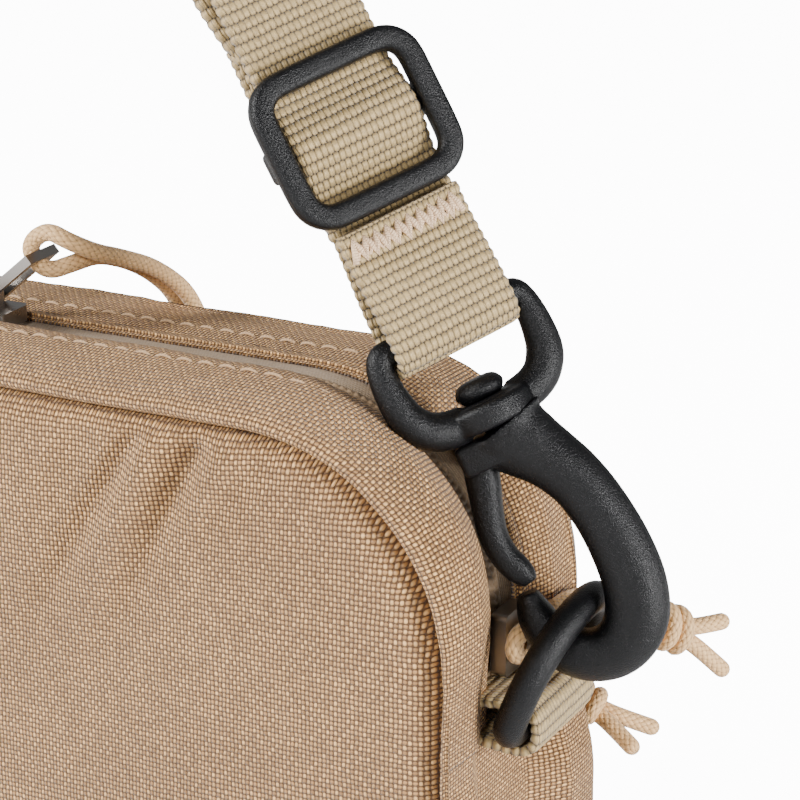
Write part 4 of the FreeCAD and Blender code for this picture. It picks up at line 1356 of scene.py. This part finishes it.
# ---- moulded hook and eye
@dataclass
class SnapHook:
    """A moulded snap hook, its sprung gate and its swivel eye, drawn in the hook's own plane.

    A station is (x, z, half across, half deep), in millimetres.
    """

    strap: Strap = field(default_factory=Strap)
    turn: float = 18.0
    voxel: float = 0.27
    spine: tuple[tuple[float, float, float, float], ...] = (
        (0.6, 29.1, 6.3, 4.9), (0.9, 27.6, 6.2, 4.7), (2.6, 25.0, 5.0, 4.3), (5.2, 21.0, 4.3, 4.1),
        (7.2, 16.5, 4.05, 3.95), (8.2, 11.0, 4.1, 3.9), (8.45, 5.5, 4.3, 3.9), (8.0, 0.0, 4.45, 3.9),
        (6.2, -4.8, 4.5, 3.9), (2.6, -7.7, 4.2, 3.8), (-1.4, -7.9, 3.8, 3.6), (-4.9, -5.8, 3.4, 3.4),
        (-6.9, -2.2, 3.0, 3.2), (-7.3, 1.2, 2.6, 2.9), (-7.1, 3.6, 1.9, 2.5), (-6.9, 4.9, 1.2, 1.9),
    )
    gate_line: tuple[tuple[float, float, float, float], ...] = (
        (-4.4, 27.2, 2.0, 2.2), (-4.9, 25.4, 2.6, 2.4), (-5.9, 22.0, 2.5, 2.5), (-7.1, 18.4, 2.25, 2.45),
        (-8.1, 14.6, 2.1, 2.4), (-7.9, 11.2, 2.05, 2.3), (-6.9, 8.6, 2.1, 2.1), (-6.2, 7.0, 1.8, 1.8),
        (-6.1, 6.1, 1.1, 1.3),
    )

    def frame(self, side: Side, turn: float) -> Frame:
        """The hook's or the eye's frame."""
        return leaning_frame(self.strap.bow, self.strap.tilt, turn, side)

    def loft(self, frame: Frame, stations: Sequence[tuple[float, float, float, float]], ridge: float,
             power: float) -> bmesh.types.BMesh:
        """A limb through the stations, its section a soft rectangle with a low ridge on its outside.

        Args:
            frame: the hook's frame.
            stations: the stations along the limb.
            ridge: how far the outside's middle stands up.
            power: 2 for an oval section, more for a squarer one.
        """
        points = [Vector((x, 0, z)) for x, z, _, _ in stations]
        smooth = nurbs_line([tuple(p) for p in points], 8)
        line, _ = even(smooth, 0.6)
        ways = tangents(line)
        sizes = []
        for spot in line:
            nearest = sorted(range(len(points)), key=lambda k: (points[k] - spot).length)[:2]
            a, b = nearest
            near, far = (points[a] - spot).length, (points[b] - spot).length
            share = near / (near + far) if near + far else 0.0
            sizes.append([stations[a][k] * (1 - share) + stations[b][k] * share for k in (2, 3)])
        for _ in range(3):
            sizes = [sizes[0]] + [[(p[k] + 2 * q[k] + r[k]) / 4 for k in (0, 1)]
                                  for p, q, r in zip(sizes, sizes[1:], sizes[2:])] + [sizes[-1]]
        last = len(line) - 1

        def place(along: float, turn: float) -> Vector:
            """A point of the limb."""
            index = int(round(along * last))
            way = ways[index]
            outside = Vector((way.z, 0, -way.x)) * -1
            across, deep = sizes[index]
            angle = 2 * math.pi * turn
            c, q = math.cos(angle), math.sin(angle)
            x = math.copysign(abs(c) ** (2 / power), c) * across
            y = math.copysign(abs(q) ** (2 / power), q) * deep
            if c > 0:
                x += ridge * c * c * math.exp(-(y / (deep * 0.55)) ** 2)
            spot = line[index] + outside * x
            return frame.at(spot.x, y, spot.z)

        return skin(last, 28, place, lambda a, b: Vector((a * 40, b * 20, 0)))

    def block(self, frame: Frame, low: tuple[float, float, float], high: tuple[float, float, float],
              soften: float) -> bmesh.types.BMesh:
        """A box between two corners with softened edges."""
        bm = bmesh.new()
        bmesh.ops.create_cube(bm, size=1.0)
        size = [b - a for a, b in zip(low, high)]
        middle = [(a + b) / 2 for a, b in zip(low, high)]
        for vert in bm.verts:
            vert.co = Vector((vert.co.x * size[0] + middle[0], vert.co.y * size[1] + middle[1],
                              vert.co.z * size[2] + middle[2]))
        bmesh.ops.bevel(bm, geom=list(bm.edges), offset=soften, segments=3, profile=0.5, affect="EDGES", material=-1)
        for vert in bm.verts:
            vert.co = frame.at(*vert.co)
        bmesh.ops.recalc_face_normals(bm, faces=bm.faces)
        return bm

    def drum(self, frame: Frame, radius: float, low: float, high: float, soften: float,
             flat: float = 1.0) -> bmesh.types.BMesh:
        """A round boss up the frame's z."""
        bm = bmesh.new()
        bmesh.ops.create_cone(bm, cap_ends=True, segments=48, radius1=radius, radius2=radius, depth=high - low)
        rims = [edge for edge in bm.edges if abs(edge.verts[0].co.z - edge.verts[1].co.z) < 1e-6]
        bmesh.ops.bevel(bm, geom=rims, offset=soften, segments=4, profile=0.5, affect="EDGES", material=-1)
        for vert in bm.verts:
            vert.co = frame.at(vert.co.x * flat, vert.co.y, vert.co.z + (low + high) / 2)
        bmesh.ops.recalc_face_normals(bm, faces=bm.faces)
        return bm

    def mould(self, name: str, parts: Sequence[bmesh.types.BMesh], body: str, *nodes: str) -> None:
        """Casts the parts as one piece with small blends where they meet."""
        bm = bmesh.new()
        for part in parts:
            merge(bm, part)
        piece = finish_mesh(name, bm, FINISHES["black_acetal"])
        cast = piece.modifiers.new("cast", "REMESH")
        cast.mode, cast.voxel_size, cast.use_smooth_shade = "VOXEL", self.voxel * MM, True
        soft = piece.modifiers.new("blend", "SMOOTH")
        soft.factor, soft.iterations = 0.5, 5
        shaped = bpy.data.meshes.new_from_object(piece.evaluated_get(bpy.context.evaluated_depsgraph_get()))
        piece.modifiers.clear()
        piece.data = shaped
        shaped.polygons.foreach_set("use_smooth", [True] * len(shaped.polygons))
        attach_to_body(piece, body)
        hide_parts(*nodes)
        LOG.info("%s %d faces", name, len(shaped.polygons))

    def build(self, side: Side) -> None:
        """The hook, gate and eye of one side."""
        label = side.value
        frame = self.frame(side, self.turn)
        parts = [self.loft(frame, self.spine, 0.7, 2.5),
                 self.block(frame, (-6.9, -4.3, 24.2), (1.0, -2.55, 29.0), 0.8),
                 self.block(frame, (-6.9, 2.55, 24.2), (1.0, 4.3, 29.0), 0.8),
                 self.block(frame, (-5.2, -3.6, 27.2), (2.0, 3.6, 29.1), 0.7)]
        self.mould(f"snap_hook_{label}", parts, f"hook_{label}", f"hook_{label}")
        head = [self.drum(frame, 3.85, 33.6, 37.0, 1.9), self.drum(frame, 2.1, 26.0, 34.2, 0.3)]
        self.mould(f"swivel_stud_{label}", head, f"hook_{label}")
        self.mould(f"sprung_gate_{label}", [self.loft(frame, self.gate_line, 0.15, 2.6)], f"gate_{label}",
                   f"gate_{label}")
        eye = self.frame(side, self.strap.turn)
        self.mould(f"swivel_eye_{label}_moulding", self.eye_parts(eye), "pouch", f"swivel_eye_{label}")

    def eye_parts(self, frame: Frame) -> list[bmesh.types.BMesh]:
        """The eye's loop, flat in its arms, with the collar that the stud turns in."""
        arm = ((4.4, 31.6), (8.6, 31.9), (12.0, 35.2), (12.7, 40.0), (12.5, 44.4), (11.6, 46.0), (9.6, 46.0))
        route = [(0, y, z) for y, z in arm] + [(0, 0, 46.0)] + [(0, -y, z) for y, z in reversed(arm)]
        line, _ = even([frame.at(*(p / MM)) for p in nurbs_line([tuple(c * MM for c in p) for p in route])], 0.0005)

        def radius(share: float) -> float:
            """Half of the arm's width: broad beside the collar, plain under the webbing."""
            from_bar = abs(share - 0.5) * 2
            return (2.05 + 0.85 * clamp((from_bar - 0.42) / 0.3)) * MM

        arms = tube(line, radius, 20, 0.92, frame.mirrored(frame.outward))
        return [arms, self.drum(frame, 6.7, 29.65, 33.5, 0.9, 0.94), self.drum(frame, 5.2, 32.2, 33.9, 0.6, 0.9)]


# ---- adjuster
@dataclass
class Adjuster:
    """The strap's adjuster: a moulded frame with its bar standing behind it."""

    strap: Strap = field(default_factory=Strap)
    shop: SnapHook = field(default_factory=SnapHook)
    half_wide: float = 12.45
    half_high: float = 10.35
    corner: float = 4.2
    face: float = 2.9

    def outline(self) -> list[tuple[float, float, float, float]]:
        """Stations once round the frame, with a short overlap."""
        flat_y, flat_z = self.half_wide - self.corner, self.half_high - self.corner
        round_points = [(self.half_wide, 0.0), (self.half_wide, flat_z * 0.6)]
        for quarter, (y, z) in enumerate(((flat_y, flat_z), (-flat_y, flat_z), (-flat_y, -flat_z), (flat_y, -flat_z))):
            for step in range(5):
                angle = math.pi / 2 * (quarter + step / 4)
                round_points.append((y + self.corner * math.cos(angle), z + self.corner * math.sin(angle)))
            if quarter % 2:
                round_points.append((-self.half_wide if quarter == 1 else self.half_wide, 0.0))
            else:
                round_points.append((0.0, self.half_high if quarter == 0 else -self.half_high))
        round_points.append((self.half_wide, 1.5))
        return [(y, z, 1.85, 1.8) for y, z in round_points]

    def build(self) -> None:
        """Moulds the frame, the bar and the two short arms as one piece."""
        frame = self.strap.frame_of(Side.RIGHT)
        frame.origin = frame.origin + frame.up * (self.strap.bar_up * MM)
        face = Frame(frame.origin + frame.outward * (self.face * MM), frame.across, frame.outward, frame.up, frame.side)
        ring = self.shop.loft(face, self.outline(), 0.0, 3.4)
        bmesh.ops.recalc_face_normals(ring, faces=ring.faces)
        parts = [ring, self.shop.block(frame, (-5.2, -12.4, -1.7), (-3.1, 12.4, 1.7), 0.7)]
        for low, high in ((-12.8, -10.7), (10.7, 12.8)):
            parts.append(self.shop.block(frame, (-5.2, low, -2.6), (2.6, high, 2.6), 0.8))
        self.shop.mould("adjuster_frame", parts, "triglide", "triglide")


# ---- hardware
def dress_hardware(frame: dict) -> None:
    """Gives every hard CAD piece its finish."""
    finishes = {"gate_pin": "steel_pin", "slider_": "gunmetal_plate", "puller_": "gunmetal_plate",
                "d_ring": "black_acetal"}
    for name, piece in frame["nodes"].items():
        for start, finish in finishes.items():
            if name.startswith(start):
                piece.data.materials.clear()
                piece.data.materials.append(FINISHES[finish])
                LOG.info("dressed %s in %s", name, finish)


# ---- studio
@dataclass
class Studio:
    """The floor, the lights and the camera."""

    target: tuple[float, float, float] = (0.0763, -0.0039, -0.1277)
    back: tuple[float, float, float] = (0.434, -0.841, 0.324)
    distance: float = 0.40
    lens: float = 122.0
    floor_glow: float = 12.0

    def floor(self) -> None:
        """A plain pale floor under the pouch."""
        bm = bmesh.new()
        bmesh.ops.create_grid(bm, x_segments=1, y_segments=1, size=6.0)
        bmesh.ops.translate(bm, verts=bm.verts, vec=(0, 0, -0.2605))
        material, _, surface = shader("pale_floor")
        set_values(surface, Base_Color=(0.92, 0.92, 0.92, 1), Roughness=0.9, Emission_Color=(1, 1, 1, 1))
        wires = Wires(material.node_tree)
        seen = wires.put("ShaderNodeLightPath").outputs["Is Camera Ray"]
        wires.join(wires.math("MULTIPLY", seen, self.floor_glow), surface.inputs["Emission Strength"])
        finish_mesh("floor", bm, material, False)

    def lamp(self, name: str, spot: tuple[float, float, float], size: float, power: float,
             aim: tuple[float, float, float] = (0.05, 0, -0.15)) -> None:
        """An area light that faces a point."""
        data = bpy.data.lights.new(name, "AREA")
        data.energy, data.size = power, size
        lamp = bpy.data.objects.new(name, data)
        lamp.location = spot
        lamp.rotation_euler = (Vector(spot) - Vector(aim)).to_track_quat("Z", "Y").to_euler()
        bpy.context.scene.collection.objects.link(lamp)

    def build(self) -> None:
        """Sets the scene."""
        self.floor()
        world = bpy.data.worlds.new("soft_room")
        world.use_nodes = True
        world.node_tree.nodes["Background"].inputs[0].default_value = (1, 1, 1, 1)
        world.node_tree.nodes["Background"].inputs[1].default_value = 0.3
        bpy.context.scene.world = world
        self.lamp("key", (-0.95, -0.8, 0.5), 0.36, 40.0)
        self.lamp("glint", (0.3, -1.0, 0.4), 0.07, 7.0)
        self.lamp("side", (1.1, -0.1, 0.05), 0.3, 22.0)
        data = bpy.data.cameras.new("camera")
        data.lens, data.sensor_width, data.clip_start = self.lens, 36.0, 0.01
        camera = bpy.data.objects.new("camera", data)
        back = Vector(self.back).normalized()
        camera.location = Vector(self.target) + back * self.distance
        camera.rotation_euler = back.to_track_quat("Z", "Y").to_euler()
        bpy.context.scene.collection.objects.link(camera)
        bpy.context.scene.camera = camera


def main() -> None:
    """Builds everything in order."""
    logging.basicConfig(level=logging.INFO, format="%(name)s: %(message)s")
    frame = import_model()
    make_finishes()
    strap = Strap()
    strap.run("strap_outer_webbing", STRAP_OUTER, "strap_outer_run")
    strap.run("strap_inner_webbing", STRAP_INNER, "strap_inner_run")
    pouch = Pouch()
    pouch.panel("panel_front", True, "front_panel")
    pouch.panel("panel_back", False, "back_panel")
    pouch.gussets()
    pouch.zip()
    pouch.top_stitching()
    pouch.inside()
    pouch.back_zip()
    webwork = Webwork(strap)
    webwork.tabs()
    webwork.loops()
    webwork.wrap()
    webwork.tacks()
    pulls()
    hook = SnapHook(strap)
    for side in Side:
        hook.build(side)
    Adjuster(strap, hook).build()
    dress_hardware(frame)
    Studio().build()


if __name__ == "__main__":
    main()
